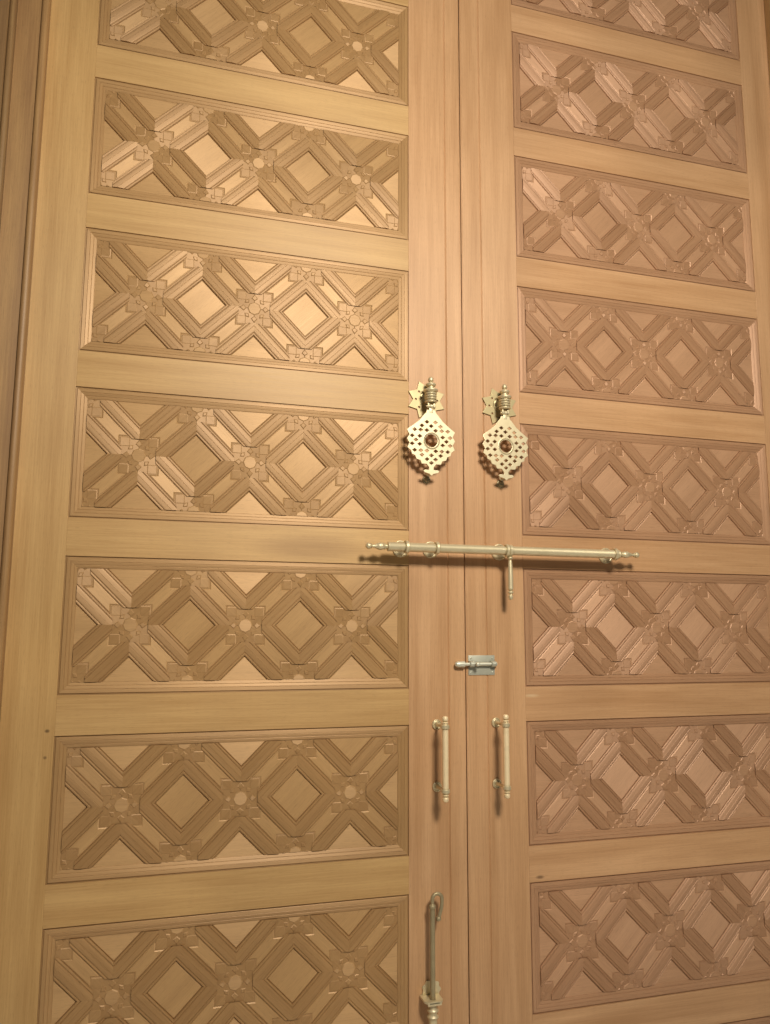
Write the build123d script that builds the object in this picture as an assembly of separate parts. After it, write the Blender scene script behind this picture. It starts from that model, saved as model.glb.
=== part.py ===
from build123d import *
import math
import os

os.makedirs("parts", exist_ok=True)

# A tall pair of carved door leaves in their frame. Millimetres.
# X runs to the right, Y away from the viewer, Z up. The origin is on the floor,
# midway between the frame's posts, in the plane of the leaves' near face.

# Doorway and gaps
opening_width = 1970.0      # between the frame's stops
stop_lap = 13.0             # how far the stops cover the leaves' edges
stop_clearance = 2.0        # between a stop and the leaf's face
hinge_gap = 4.0             # between a leaf's edge and its post
head_gap = 4.0
sill_gap = 6.0
seam_offset = -6.0          # the leaves meet this far from the middle
seam_gap = 4.0

# Leaves
leaf_thickness = 52.0
hinge_stile_sight = 100.0
panel_inner_edge = 145.0    # from the middle of the doorway
rows = 9
panel_height = 280.0
mid_rail = 79.0
bottom_rail = 250.0
top_rail = 145.0
groove_depth = 12.0
tongue_length = 10.0
tongue_thickness = 12.0
tongue_inset = 20.0         # from the near face
tongue_clearance = 0.3
quirk_from_seam = 48.0      # the fine line down each meeting stile
quirk_width = 4.0
quirk_depth = 2.5
seam_chamfer = 2.0

# Carved panels
panel_gap = 3.0             # the dark line round a panel
panel_front = 0.5           # behind the leaf's face
border_width = 22.0
border_depth = 6.0          # at the foot of the sloping border
crest_depth = 2.0           # at the top of the straps
plaque_depth = 9.5          # at the sunk diamonds
carving_margin = 2.0
star_spacings = 2.91        # lattice pitches across a panel's field
strap_reach = 0.33          # the next four are in lattice pitches
strap_corner = 0.09
diamond_reach = 0.229
star_radius = 0.066

# Frame
post_width = 118.0          # behind the stop, from the hinge gap outwards
stop_depth = 17.0
nosing_radius = 8.0
casing_from_stop = 64.0
casing_width = 92.0
casing_thickness = 18.0
casing_bead_radius = 7.0
head_height = 118.0
threshold_height = 45.0
threshold_front = 75.0
threshold_slope = 14.0

# Butt hinges
hinge_count = 4
hinge_length = 120.0
hinge_end_offset = 260.0
hinge_plate = 1.7
hinge_plate_depth = 32.0
knuckle_radius = 7.0
knuckle_standoff = 1.0
knuckle_gap = 0.5
pin_radius = 3.0
pin_clearance = 0.05
pin_head = 4.5
pin_head_height = 3.0

# Bar bolt across both leaves
rows_above_bolt = 5
bolt_below_rail_middle = 2.7
bolt_radius = 10.5
bolt_clearance = 0.07
bolt_standoff = 43.0
bolt_left = -260.0
bolt_right = 440.0
finial_left = 53.0
finial_right = 58.0
keeper_places = (-165.0, -92.0)
guide_places = (82.0, 372.0)
eye_width = 8.0
eye_radius = 15.0
rosette_radius = 19.5
rosette_thickness = 4.0
eye_stem_radius = 3.6
collar_width = 9.0
collar_radius = 14.0
collar_gap = 0.4
drop_length = 115.0

# Small barrel bolt
latch_above_pull = 110.0
latch_plate_width = 66.0
latch_plate_height = 45.0
latch_plate_thickness = 2.0
latch_plate_from_seam = 4.0
latch_rod_radius = 4.0
latch_rod_standoff = 9.0
latch_rod_left = -35.0
latch_rod_right = 69.0
latch_bridge = 12.0
latch_bridge_wall = 3.0
latch_keeper_width = 24.0
latch_clearance = 0.3
latch_knob_offset = 3.0

# Knockers
knocker_from_seam = 95.0
knocker_above_bolt = 335.2   # the pivot
knocker_standoff = 34.0
knocker_plate_thickness = 4.0
knocker_hole_radius = 16.0
knocker_rows = {0.0: (38.0,), 9.5: (28.5, 47.0), 24.5: (11.0, 26.0, 41.0), 35.0: (0.0, 23.0), 44.5: (10.5,)}
knocker_tail_opening = 53.0  # below the middle of the hole
lozenge_width = 10.5
lozenge_height = 8.0
knocker_hole_drop = 83.0     # from the pivot to the middle of the hole
knocker_pin_radius = 2.5
knocker_lug_width = 9.0
knocker_ear_thickness = 4.0
knocker_lug_radius = 6.0
ear_clearance = 0.4
rose_reach = 49.0
rose_notch = 34.0
rose_thickness = 4.0
rose_above_pivot = 24.0
neck_above_pivot = 8.5
stud_height = 8.0
stud_radius = 10.0
strike_gap = 0.4
hammer_radius = 6.0
hammer_drop = 74.0          # from the middle of the hole
stud_drop = 86.0

# Pull handles
pull_from_seam = 73.0
pull_below_bolt = 464.3      # to the middle of the bar
pull_length = 183.0
pull_radius = 7.0
pull_standoff = 55.0
pull_post_spacing = 136.0
pull_post_radius = 4.5
pull_rosette_radius = 11.0
pull_eye_radius = 9.5
pull_eye_length = 9.0
pull_eye_clearance = 0.05

# Foot bolt
foot_from_seam = 95.0
foot_standoff = 28.0
foot_rod_radius = 5.5
foot_rod_top = 945.0
foot_crook_radius = 11.0
foot_crook_drop = 40.0
foot_crook_wire = 4.0
foot_barrel_top = 730.0
foot_barrel_radius = 9.0
foot_barrel_bottom = 78.0
foot_clearance = 0.3
foot_shelf_width = 42.0
foot_shelf_depth = 42.0
foot_shelf_thickness = 4.0
foot_rosette_radius = 22.0
foot_rosette_shift = 6.0     # towards the seam
foot_rosette_rise = 12.0
foot_lower_guide = 150.0
foot_seat_clearance = 0.05
foot_rest_height = 8.0        # above the socket when drawn up
socket_plate = 3.0
socket_radius = 9.5
socket_plate_size = 44.0
socket_hole_depth = 42.0

# Worked out from the sizes above
half_opening = opening_width / 2
leaf_edge = half_opening + stop_lap
post_face = leaf_edge + hinge_gap
panel_outer_edge = half_opening - hinge_stile_sight
panel_width = panel_outer_edge - panel_inner_edge
row_pitch = panel_height + mid_rail
leaf_bottom = threshold_height + sill_gap
leaf_top = leaf_bottom + bottom_rail + rows * row_pitch - mid_rail + top_rail
head_face = leaf_top + head_gap
stop_top = leaf_top - stop_lap
stop_front = -(stop_clearance + stop_depth)
frame_outer = post_face + post_width
frame_top = head_face + head_height
tongue_back = tongue_inset + tongue_thickness
field_width = panel_width - 2 * (panel_gap + border_width)
field_height = panel_height - 2 * (panel_gap + border_width)
pitch = field_width / star_spacings
hinge_x = leaf_edge + hinge_gap / 2
hinge_y = leaf_thickness + knuckle_standoff + knuckle_radius
bolt_rail_middle = leaf_bottom + bottom_rail + (rows - rows_above_bolt) * row_pitch - mid_rail / 2
bolt_z = bolt_rail_middle - bolt_below_rail_middle
pull_z = bolt_z - pull_below_bolt
knocker_z = bolt_z + knocker_above_bolt
latch_z = pull_z + pull_length / 2 + latch_above_pull
SIDES = {"left": -1, "right": 1}


def block(x0, x1, y0, y1, z0, z1):
    """A box between two corners, given in either order."""
    middle = Pos((x0 + x1) / 2, (y0 + y1) / 2, (z0 + z1) / 2)
    return middle * Box(abs(x1 - x0), abs(y1 - y0), abs(z1 - z0))


def turned(profile):
    """A turned solid about Z from (radius, height) points, bottom to top."""
    points = [(0, 0, profile[0][1])]
    points += [(radius, 0, height) for radius, height in profile]
    points += [(0, 0, profile[-1][1])]
    return revolve(make_face(Polyline(*points, close=True)), Axis.Z)


def flat_shape(points, y0, y1):
    """A plate with an outline of (x, z) points, from depth y0 to y1."""
    face = make_face(Polyline(*[(x, y0, z) for x, z in points], close=True))
    return extrude(face, amount=y1 - y0, dir=(0, 1, 0))


def rod_x(radius, x0, x1, y, z):
    return Pos((x0 + x1) / 2, y, z) * Rot(0, 90, 0) * Cylinder(radius, abs(x1 - x0))


def rod_y(radius, x, y0, y1, z):
    return Pos(x, (y0 + y1) / 2, z) * Rot(90, 0, 0) * Cylinder(radius, abs(y1 - y0))


def rod_z(radius, x, y, z0, z1):
    return Pos(x, y, (z0 + z1) / 2) * Cylinder(radius, abs(z1 - z0))


def seam_edge(side):
    return seam_offset + side * seam_gap / 2


# Carved panels

def octagon(reach, corner):
    """The eight corners of a strap ring, clockwise."""
    quarter = [(-reach, corner), (-corner, reach)]
    ring = []
    for turn in range(4):
        for x, z in quarter:
            for _ in range(turn):
                x, z = z, -x
            ring.append((x, z))
    return ring


def carved_shape(points, x, z, y0, y1):
    """A prism of the lattice, in pitches about (x, z), from depth y0 to y1."""
    return flat_shape([(pitch * (x + px), pitch * (z + pz)) for px, pz in points], y0, y1)


def carving_centres():
    """Middles of the strap rings: on the mid-line between stars, and above and below stars."""
    middle = [(k - 1.5, 0.0) for k in range(4)]
    border = [(k - 1.0, level) for k in range(3) for level in (-0.5, 0.5)]
    return middle + border


def carved_panel():
    """One panel about the middle of its face, with the straps raised and the diamonds sunk."""
    half_w = panel_width / 2
    half_h = panel_height / 2
    front_w, front_h = half_w - panel_gap, half_h - panel_gap
    tongue_w, tongue_h = half_w + tongue_length, half_h + tongue_length
    board = block(-front_w, front_w, panel_front, tongue_back, -front_h, front_h)
    board += block(-tongue_w, tongue_w, tongue_inset, tongue_back, -tongue_h, tongue_h)
    facing = Plane(origin=(0, panel_front, 0), x_dir=(1, 0, 0), z_dir=(0, -1, 0))
    foot = Plane(origin=(0, border_depth, 0), x_dir=(1, 0, 0), z_dir=(0, -1, 0))
    outer = facing * Rectangle(2 * front_w - 2, 2 * front_h - 2)
    inner = foot * Rectangle(field_width, field_height)
    board -= loft([outer, inner])
    keep_w = field_width / 2 - carving_margin
    keep_h = field_height / 2 - carving_margin
    keep = block(-keep_w, keep_w, crest_depth, plaque_depth, -keep_h, keep_h)
    diamond = [(-diamond_reach, 0), (0, diamond_reach), (diamond_reach, 0), (0, -diamond_reach)]
    rings, sunk = [], []
    for x, z in carving_centres():
        ring = carved_shape(octagon(strap_reach, strap_corner), x, z, crest_depth, border_depth)
        hole = carved_shape(diamond, x, z, crest_depth, plaque_depth)
        rings.append((ring - hole) & keep)
        sunk.append(hole & keep)
    for k in range(3):
        star = [(star_radius * math.cos(math.radians(t)), star_radius * math.sin(math.radians(t)))
                for t in range(0, 360, 45)]
        rings.append(carved_shape(star, k - 1.0, 0, crest_depth, border_depth))
    for hole in sunk:
        board -= hole
    for ring in rings:
        board += ring
    return board


# Leaves

def grooved(piece, x0, x1, z0, z1):
    """Cut the groove that holds tongues, over one stretch."""
    near = tongue_inset - tongue_clearance
    far = tongue_back + tongue_clearance
    return piece - block(x0, x1, near, far, z0, z1)


def hinge_stile(side):
    stile = block(side * panel_outer_edge, side * leaf_edge, 0, leaf_thickness, leaf_bottom, leaf_top)
    groove_end = side * (panel_outer_edge + groove_depth)
    return grooved(stile, side * panel_outer_edge, groove_end, leaf_bottom, leaf_top)


def meeting_stile(side):
    edge = seam_edge(side)
    stile = block(edge, side * panel_inner_edge, 0, leaf_thickness, leaf_bottom, leaf_top)
    groove_end = side * (panel_inner_edge - groove_depth)
    stile = grooved(stile, side * panel_inner_edge, groove_end, leaf_bottom, leaf_top)
    quirk = side * quirk_from_seam
    half = quirk_width / 2
    cut = [(quirk - half, 0), (quirk, quirk_depth), (quirk + half, 0)]
    arris = [(edge, 0), (edge + side * seam_chamfer, 0), (edge, seam_chamfer)]
    for outline in (cut, arris):
        face = make_face(Polyline(*[(x, y, leaf_bottom) for x, y in outline], close=True))
        stile -= extrude(face, amount=leaf_top - leaf_bottom, dir=(0, 0, 1))
    return stile


def rail(side, z0, z1, groove_below, groove_above):
    """A rail between the stiles, with stub tenons in their grooves."""
    inner, outer = side * panel_inner_edge, side * panel_outer_edge
    tenon = side * (groove_depth - 1)
    piece = block(inner, outer, 0, leaf_thickness, z0, z1)
    piece += block(inner - tenon, outer + tenon, tongue_inset, tongue_back, z0, z1)
    if groove_below:
        piece = grooved(piece, inner - tenon, outer + tenon, z0, z0 + groove_depth)
    if groove_above:
        piece = grooved(piece, inner - tenon, outer + tenon, z1 - groove_depth, z1)
    return piece


def row_bottom(row):
    """Height of the lower edge of a panel's opening, rows counted from the bottom."""
    return leaf_bottom + bottom_rail + row * row_pitch


def leaf_parts(name, side, panel):
    parts = {
        f"{name}_hinge_stile": hinge_stile(side),
        f"{name}_meeting_stile": meeting_stile(side),
        f"{name}_bottom_rail": rail(side, leaf_bottom, row_bottom(0), False, True),
        f"{name}_top_rail": rail(side, leaf_top - top_rail, leaf_top, True, False),
    }
    middle = rail(side, row_bottom(1) - mid_rail, row_bottom(1), True, True)
    parts[f"{name}_mid_rails"] = [Pos(0, 0, row * row_pitch) * middle for row in range(rows - 1)]
    panel_x = side * (panel_inner_edge + panel_outer_edge) / 2
    for row in range(rows):
        centre = row_bottom(row) + panel_height / 2
        parts[f"{name}_panel_{row + 1}"] = Pos(panel_x, 0, centre) * panel
    return parts


# Frame

def frame_section():
    """The rebated post's outline: distance out from the stop's edge, and depth."""
    back = leaf_thickness
    wide = post_face + post_width - half_opening
    rebate = post_face - half_opening
    top = stop_front
    with BuildLine() as line:
        Polyline((0, top), (0, -stop_clearance), (rebate, -stop_clearance), (rebate, back),
                 (wide, back), (wide, top), (2 * nosing_radius, top))
        ThreePointArc((2 * nosing_radius, top), (nosing_radius, top - nosing_radius), (0, top))
    return make_face(line.line)


def casing_section():
    """The casing's outline, with a bead on its inner edge."""
    near = stop_front - casing_thickness
    inner, outer = casing_from_stop, casing_from_stop + casing_width
    bead = inner + 2 * casing_bead_radius
    with BuildLine() as line:
        Polyline((inner, near + casing_bead_radius), (inner, stop_front), (outer, stop_front),
                 (outer, near), (bead + 2, near), (bead, near + 3), (bead, near + casing_bead_radius))
        ThreePointArc((bead, near + casing_bead_radius), (inner + casing_bead_radius, near),
                      (inner, near + casing_bead_radius))
    return make_face(line.line)


def upright(section, side):
    """A post of the section, mitred at the head."""
    length = frame_top + casing_width
    post = extrude(section, amount=length, dir=(0, 0, 1))
    post = Pos(half_opening, 0, 0) * post
    mitre = Plane(origin=(half_opening, 0, stop_top), z_dir=(-1, 0, 1))
    post = split(post, bisect_by=mitre, keep=Keep.BOTTOM)
    return post if side > 0 else mirror(post, about=Plane.YZ)


def lintel(section):
    """A head of the section, mitred at both ends."""
    reach = frame_outer + casing_width
    stood = Rot(0, -90, 0) * extrude(section, amount=2 * reach, dir=(0, 0, 1))
    head = Pos(reach, 0, stop_top) * stood
    for side in (-1, 1):
        mitre = Plane(origin=(side * half_opening, 0, stop_top), z_dir=(-side, 0, 1))
        head = split(head, bisect_by=mitre, keep=Keep.TOP)
    return head


def threshold():
    """The raised threshold between the posts, with the foot bolt's socket."""
    outline = [(-threshold_front, 0), (-threshold_front, threshold_height - threshold_slope),
               (-threshold_front + threshold_slope, threshold_height),
               (leaf_thickness, threshold_height), (leaf_thickness, 0)]
    face = make_face(Polyline(*[(0, y, z) for y, z in outline], close=True))
    sill = Pos(-post_face, 0, 0) * extrude(face, amount=2 * post_face, dir=(1, 0, 0))
    for side in (-1, 1):
        sill -= block(side * half_opening, side * (post_face + 1), -threshold_front - 1,
                      -stop_clearance, -1, threshold_height + 1)
    hole_bottom = threshold_height - socket_hole_depth
    return sill - rod_z(socket_radius, foot_x, -foot_standoff, hole_bottom, threshold_height + 1)


def frame_parts():
    parts = {"threshold": threshold()}
    for name, side in SIDES.items():
        parts[f"{name}_jamb"] = upright(frame_section(), side)
        parts[f"{name}_casing"] = upright(casing_section(), side)
    parts["frame_head"] = lintel(frame_section())
    parts["head_casing"] = lintel(casing_section())
    half = socket_plate_size / 2
    plate = block(foot_x - half, foot_x + half, -foot_standoff - half, -foot_standoff + half - 8,
                  threshold_height, threshold_height + socket_plate)
    bore = rod_z(socket_radius, foot_x, -foot_standoff, 0, threshold_height + socket_plate + 1)
    parts["foot_bolt_socket"] = plate - bore
    return parts


# Butt hinges

def hinge_heights():
    low = leaf_bottom + hinge_end_offset
    high = leaf_top - hinge_end_offset
    return [low + (high - low) * k / (hinge_count - 1) for k in range(hinge_count)]


def hinge_half(side, z, on_leaf):
    """A hinge's plate with its knuckles: the middle one on the leaf, the outer two on the frame."""
    third = hinge_length / 3
    edge = side * (leaf_edge if on_leaf else post_face)
    inward = edge + side * hinge_plate if on_leaf else edge - side * hinge_plate
    back = leaf_thickness - knuckle_standoff / 2
    half = block(edge, inward, back - hinge_plate_depth, back, z - hinge_length / 2, z + hinge_length / 2)
    spans = [(-third / 2, third / 2)] if on_leaf else [(-1.5 * third, -third / 2), (third / 2, 1.5 * third)]
    for low, high in spans:
        low, high = z + low + knuckle_gap / 2, z + high - knuckle_gap / 2
        half += block(edge, inward, back, hinge_y, low, high)
        half += rod_z(knuckle_radius, side * hinge_x, hinge_y, low, high)
    return half - rod_z(pin_radius + pin_clearance, side * hinge_x, hinge_y,
                        z - hinge_length, z + hinge_length)


def hinge_pin(side, z):
    top = z + hinge_length / 2
    pin = rod_z(pin_radius, side * hinge_x, hinge_y, z - hinge_length / 2, top)
    return pin + rod_z(pin_head, side * hinge_x, hinge_y, top, top + pin_head_height)


def hinge_parts():
    both = [(side, z) for side in SIDES.values() for z in hinge_heights()]
    parts = {
        "hinge_frame_plates": [hinge_half(side, z, False) for side, z in both],
        "hinge_pins": [hinge_pin(side, z) for side, z in both],
    }
    for name, side in SIDES.items():
        parts[f"{name}_hinge_plates"] = [hinge_half(side, z, True) for z in hinge_heights()]
    return parts


# Bar bolt

def finial(length, radius):
    """A turned end, along +Z from its root: a neck, a bulb, a thin neck and a ball."""
    steps = [(1.0, 0), (0.55, 0.06), (0.48, 0.14), (0.62, 0.20), (0.78, 0.32), (0.74, 0.44), (0.5, 0.56),
             (0.33, 0.64), (0.36, 0.74), (0.58, 0.80), (0.66, 0.88), (0.52, 0.96), (0.2, 1.0)]
    return turned([(share_r * radius, share_z * length) for share_r, share_z in steps])


def bar_bolt_rod():
    left, right = bolt_left + finial_left, bolt_right - finial_right
    axis_y = -bolt_standoff
    rod = rod_x(bolt_radius, left, right, axis_y, bolt_z)
    rod += Pos(left, axis_y, bolt_z) * Rot(0, -90, 0) * finial(finial_left, bolt_radius)
    rod += Pos(right, axis_y, bolt_z) * Rot(0, 90, 0) * finial(finial_right, bolt_radius)
    return rod


def rosette(x, z, radius):
    """A turned foot on the door: a rounded rim, a hollow and a domed middle."""
    thick = rosette_thickness
    steps = [(1.0, 0), (1.0, 0.55), (0.93, 1.0), (0.84, 0.9), (0.76, 0.6), (0.6, 0.7), (0.42, 1.1),
             (0.34, 1.8), (0.2, 2.0)]
    foot = turned([(share * radius, height * thick) for share, height in steps])
    return Pos(x, 0, z) * Rot(90, 0, 0) * foot


def eye_bracket(x, z, standoff, bore, eye, foot_radius):
    """A turned rosette on the door with a stem and an eye along X."""
    piece = rosette(x, z, foot_radius)
    piece += rod_y(eye_stem_radius, x, -standoff + (bore + eye) / 2, 0, z)
    width = eye_width / 2
    ring = rod_x(eye, x - width, x + width, -standoff, z)
    return piece + ring - rod_x(bore, x - 2 * eye_width, x + 2 * eye_width, -standoff, z)


def bar_bolt_eye(x):
    return eye_bracket(x, bolt_z, bolt_standoff, bolt_radius + bolt_clearance, eye_radius, rosette_radius)


def drop_handle():
    """The turned handle that hangs from a collar round the bar."""
    x = guide_places[0] + eye_width / 2 + collar_gap + collar_width / 2
    half = collar_width / 2
    steps = [(1.5, drop_length), (4.0, drop_length - 2), (5.0, drop_length - 6), (4.0, drop_length - 10),
             (3.2, drop_length - 12), (6.2, drop_length - 15), (6.2, drop_length - 18),
             (3.6, drop_length - 20), (3.6, drop_length - 22), (6.6, drop_length - 26),
             (6.2, drop_length - 50), (4.4, 24), (3.6, 22), (6.2, 20), (6.2, 17), (4.2, 15.5),
             (4.2, 14), (3.8, 8)]
    grip = turned([(r, -below) for r, below in steps])
    collar = rod_x(collar_radius, x - half, x + half, -bolt_standoff, bolt_z)
    bore = rod_x(bolt_radius + bolt_clearance, x - collar_width, x + collar_width, -bolt_standoff, bolt_z)
    return collar + Pos(x, -bolt_standoff, bolt_z) * grip - bore


def bar_bolt_parts():
    return {
        "bar_bolt_rod": bar_bolt_rod(),
        "bar_bolt_handle": drop_handle(),
        "bar_bolt_keepers": [bar_bolt_eye(x) for x in keeper_places],
        "bar_bolt_guides": [bar_bolt_eye(x) for x in guide_places],
    }


# Small barrel bolt

def latch_bridge_piece(x0, x1):
    """A bridge over the rod, seated on its plate."""
    outer = latch_rod_radius + latch_bridge_wall
    bridge = rod_x(outer, x0, x1, -latch_rod_standoff, latch_z)
    bridge += block(x0, x1, -latch_rod_standoff, -latch_plate_thickness, latch_z - outer, latch_z + outer)
    return bridge


def latch_bore(x0, x1):
    return rod_x(latch_rod_radius + latch_clearance, x0, x1, -latch_rod_standoff, latch_z)


def small_bolt_parts():
    low = latch_z - 0.56 * latch_plate_height
    high = low + latch_plate_height
    start = seam_edge(1) + latch_plate_from_seam
    end = start + latch_plate_width
    plate = block(start, end, -latch_plate_thickness, 0, low, high)
    plate += latch_bridge_piece(start, start + latch_bridge)
    plate += latch_bridge_piece(end - latch_bridge, end)
    plate -= latch_bore(start - 1, end + 1)
    stop = seam_edge(-1) - latch_plate_from_seam
    keeper = block(stop - latch_keeper_width, stop, -latch_plate_thickness, 0, low, high - 6)
    keeper += latch_bridge_piece(stop - latch_keeper_width, stop - 2)
    keeper -= latch_bore(stop - latch_keeper_width - 1, stop + 1)
    rod = rod_x(latch_rod_radius, latch_rod_left, latch_rod_right, -latch_rod_standoff, latch_z)
    knob_x = start + latch_bridge + latch_knob_offset
    knob = Rot(90, 0, 0) * turned([(2.5, 0), (2.5, 8), (4.5, 11), (4.5, 14), (2.0, 17)])
    rod += Pos(knob_x, -latch_rod_standoff, latch_z) * knob
    return {"small_bolt_plate": plate, "small_bolt_keeper": keeper, "small_bolt_rod": rod}


# Knockers

def knocker_outline():
    """The knocker's toothed outline about its hole, anticlockwise from its tail."""
    half = [(5, -79), (17, -76), (20, -72), (16, -69), (6, -69), (6, -63), (12, -56), (24, -56), (27, -48),
            (37, -45), (40, -37), (48, -34), (50, -26), (59, -19), (54, -8), (60, 2), (54, 12), (60, 24),
            (45, 35), (29, 48), (17, 63), (12, 68), (11, 74)]
    return [(0, -84)] + half + [(-x, z) for x, z in reversed(half)]


def knocker_piercings():
    """Middles of the lozenge openings: rows above and below the hole, in pairs, and one in the tail."""
    openings = [(0, -knocker_tail_opening)]
    for height, places in knocker_rows.items():
        for z in {height, -height}:
            openings += [(x, z) for place in places for x in {place, -place}]
    return openings


def knocker_plate(x):
    """The pierced plate with its lug and the hammer behind its tail."""
    middle = knocker_z - knocker_hole_drop
    near = -knocker_standoff - knocker_plate_thickness / 2
    far = near + knocker_plate_thickness
    plate = flat_shape(knocker_outline(), near, far)
    lozenge = [(-lozenge_width / 2, 0), (0, lozenge_height / 2), (lozenge_width / 2, 0),
               (0, -lozenge_height / 2)]
    for px, pz in knocker_piercings():
        plate -= flat_shape([(px + lx, pz + lz) for lx, lz in lozenge], near - 1, far + 1)
    plate -= rod_y(knocker_hole_radius, 0, near - 1, far + 1, 0)
    plate = Pos(x, 0, middle) * plate
    half = knocker_lug_width / 2
    plate += block(x - half, x + half, near, far, knocker_z - 14, knocker_z)
    plate += rod_x(knocker_lug_radius, x - half, x + half, -knocker_standoff, knocker_z)
    plate -= rod_x(knocker_pin_radius + pin_clearance, x - 20, x + 20, -knocker_standoff, knocker_z)
    hammer_z = middle - hammer_drop
    plate += rod_y(hammer_radius - 2, x, near + 1, -stud_height - strike_gap, hammer_z)
    plate += rod_y(hammer_radius, x, -stud_height - strike_gap - 5, -stud_height - strike_gap, hammer_z)
    return plate


def rose_outline():
    """An eight-pointed star that stands on two of its points."""
    outline = []
    for k in range(16):
        radius = rose_reach if k % 2 == 0 else rose_notch
        angle = math.radians(22.5 * (k + 1))
        outline.append((radius * math.cos(angle), radius * math.sin(angle)))
    return outline


def knocker_hanger(x):
    """The star plate, the ringed neck in front of it, and the fork that holds the pin."""
    z = knocker_z + rose_above_pivot
    star = Pos(x, 0, z) * flat_shape(rose_outline(), -rose_thickness, 0)
    neck_foot = knocker_z + neck_above_pivot
    rings = [(10, 0), (14, 1), (14, 4), (10, 6), (13, 9), (13, 11), (11, 13), (13.5, 15), (13.5, 17),
             (11.5, 19), (14, 21), (14, 23), (12, 25), (16, 28), (17, 31), (9, 34), (8, 40), (12, 43),
             (12, 46), (6, 49), (4, 52), (6, 56), (5.5, 60), (2, 63)]
    neck = Pos(x, -knocker_standoff, neck_foot) * turned(rings)
    piece = star + neck + rod_y(8, x, -knocker_standoff, 0, neck_foot + 20)
    inner = knocker_lug_width / 2 + ear_clearance
    for side in (-1, 1):
        near, far = x + side * inner, x + side * (inner + knocker_ear_thickness)
        piece += block(near, far, -knocker_standoff - 5, -knocker_standoff + 5, knocker_z, neck_foot + 2)
        piece += rod_x(5, near, far, -knocker_standoff, knocker_z)
    reach = inner + knocker_ear_thickness
    piece -= rod_x(knocker_pin_radius, x - reach - 1, x + reach + 1, -knocker_standoff, knocker_z)
    pin = rod_x(knocker_pin_radius, x - reach - 1.5, x + reach + 1.5, -knocker_standoff, knocker_z)
    return [piece, pin]


def knocker_stud(x):
    profile = [(stud_radius, 0), (stud_radius, 2), (0.7 * stud_radius, 4), (0.6 * stud_radius, stud_height)]
    return Pos(x, 0, knocker_z - knocker_hole_drop - stud_drop) * Rot(90, 0, 0) * turned(profile)


# Pull handles

def pull_bar(x):
    """The turned bar, with a ball and a ring at each end."""
    end = [(0.2, 0), (0.75, 2), (0.96, 6.5), (0.75, 11), (0.55, 12.4), (0.94, 13.6), (0.94, 15.6),
           (0.75, 17), (1.0, 18)]
    steps = [(share * pull_radius, height) for share, height in end]
    steps += [(radius, pull_length - height) for radius, height in reversed(steps)]
    return Pos(x, -pull_standoff, pull_z - pull_length / 2) * turned(steps)


def pull_post(x, z):
    """A rosette and stem, with the eye that holds the bar."""
    post = rosette(x, z, pull_rosette_radius)
    post += rod_y(pull_post_radius, x, -pull_standoff, 0, z)
    half = pull_eye_length / 2
    post += rod_z(pull_eye_radius, x, -pull_standoff, z - half, z + half)
    return post - rod_z(pull_radius + pull_eye_clearance, x, -pull_standoff, z - 2 * half, z + 2 * half)


# Foot bolt

foot_x = seam_offset - foot_from_seam


def foot_bolt_rod():
    """The long rod with a crook at its top, drawn up clear of the socket."""
    bottom = threshold_height + socket_plate + foot_rest_height
    rod = rod_z(foot_rod_radius, foot_x, -foot_standoff, bottom, foot_rod_top - 2 * foot_crook_radius)
    start = (foot_x, -foot_standoff, foot_rod_top - 2 * foot_crook_radius)
    over = (foot_x, -foot_standoff, foot_rod_top - foot_crook_radius)
    top = (foot_x + foot_crook_radius, -foot_standoff, foot_rod_top)
    down = (foot_x + 2 * foot_crook_radius, -foot_standoff, foot_rod_top - foot_crook_radius)
    tip = (foot_x + 2 * foot_crook_radius, -foot_standoff, down[2] - foot_crook_drop)
    path = Wire([Line(start, over), ThreePointArc(over, top, down), Line(down, tip)])
    section = Plane(origin=start, z_dir=(0, 0, 1)) * Circle(foot_crook_wire)
    rod += sweep(section, path=path)
    rod += Pos(*tip) * Sphere(foot_crook_wire * 1.4)
    collar = foot_rod_radius * 1.35
    return rod + rod_z(collar, foot_x, -foot_standoff, start[2] - 6, start[2] + 2)


def foot_bolt_barrel():
    """The fixed sleeve below the upper guide, with turned rings at both ends."""
    r = foot_barrel_radius
    top, bottom = foot_barrel_top, foot_barrel_bottom
    steps = [(r, bottom), (1.2 * r, bottom + 4), (r, bottom + 8), (r, top - 34), (1.25 * r, top - 30),
             (r, top - 26), (r, top - 21), (1.25 * r, top - 17), (r, top - 13), (r, top)]
    sleeve = Pos(foot_x, -foot_standoff, 0) * turned(steps)
    bore = foot_rod_radius + foot_clearance
    return sleeve - rod_z(bore, foot_x, -foot_standoff, bottom - 1, top + 1)


def foot_guide(z):
    """A rosette on the stile with a shelf that the rod passes through."""
    shelf_w = foot_shelf_width / 2
    on_barrel = z < foot_barrel_top
    hold = foot_barrel_radius + foot_seat_clearance if on_barrel else foot_rod_radius + foot_clearance
    guide = rod_y(foot_rosette_radius, foot_x + foot_rosette_shift, -rosette_thickness, 0, z + foot_rosette_rise)
    guide += block(foot_x - shelf_w, foot_x + shelf_w, -foot_shelf_depth, 0, z, z + foot_shelf_thickness)
    return guide - rod_z(hold, foot_x, -foot_standoff, z - 20, z + 40)


def write(name, solids):
    """Write one node, of one solid or a group of separate ones."""
    shape = solids if not isinstance(solids, list) else Compound(children=solids)
    export_step(shape, f"parts/{name}.step")


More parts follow.
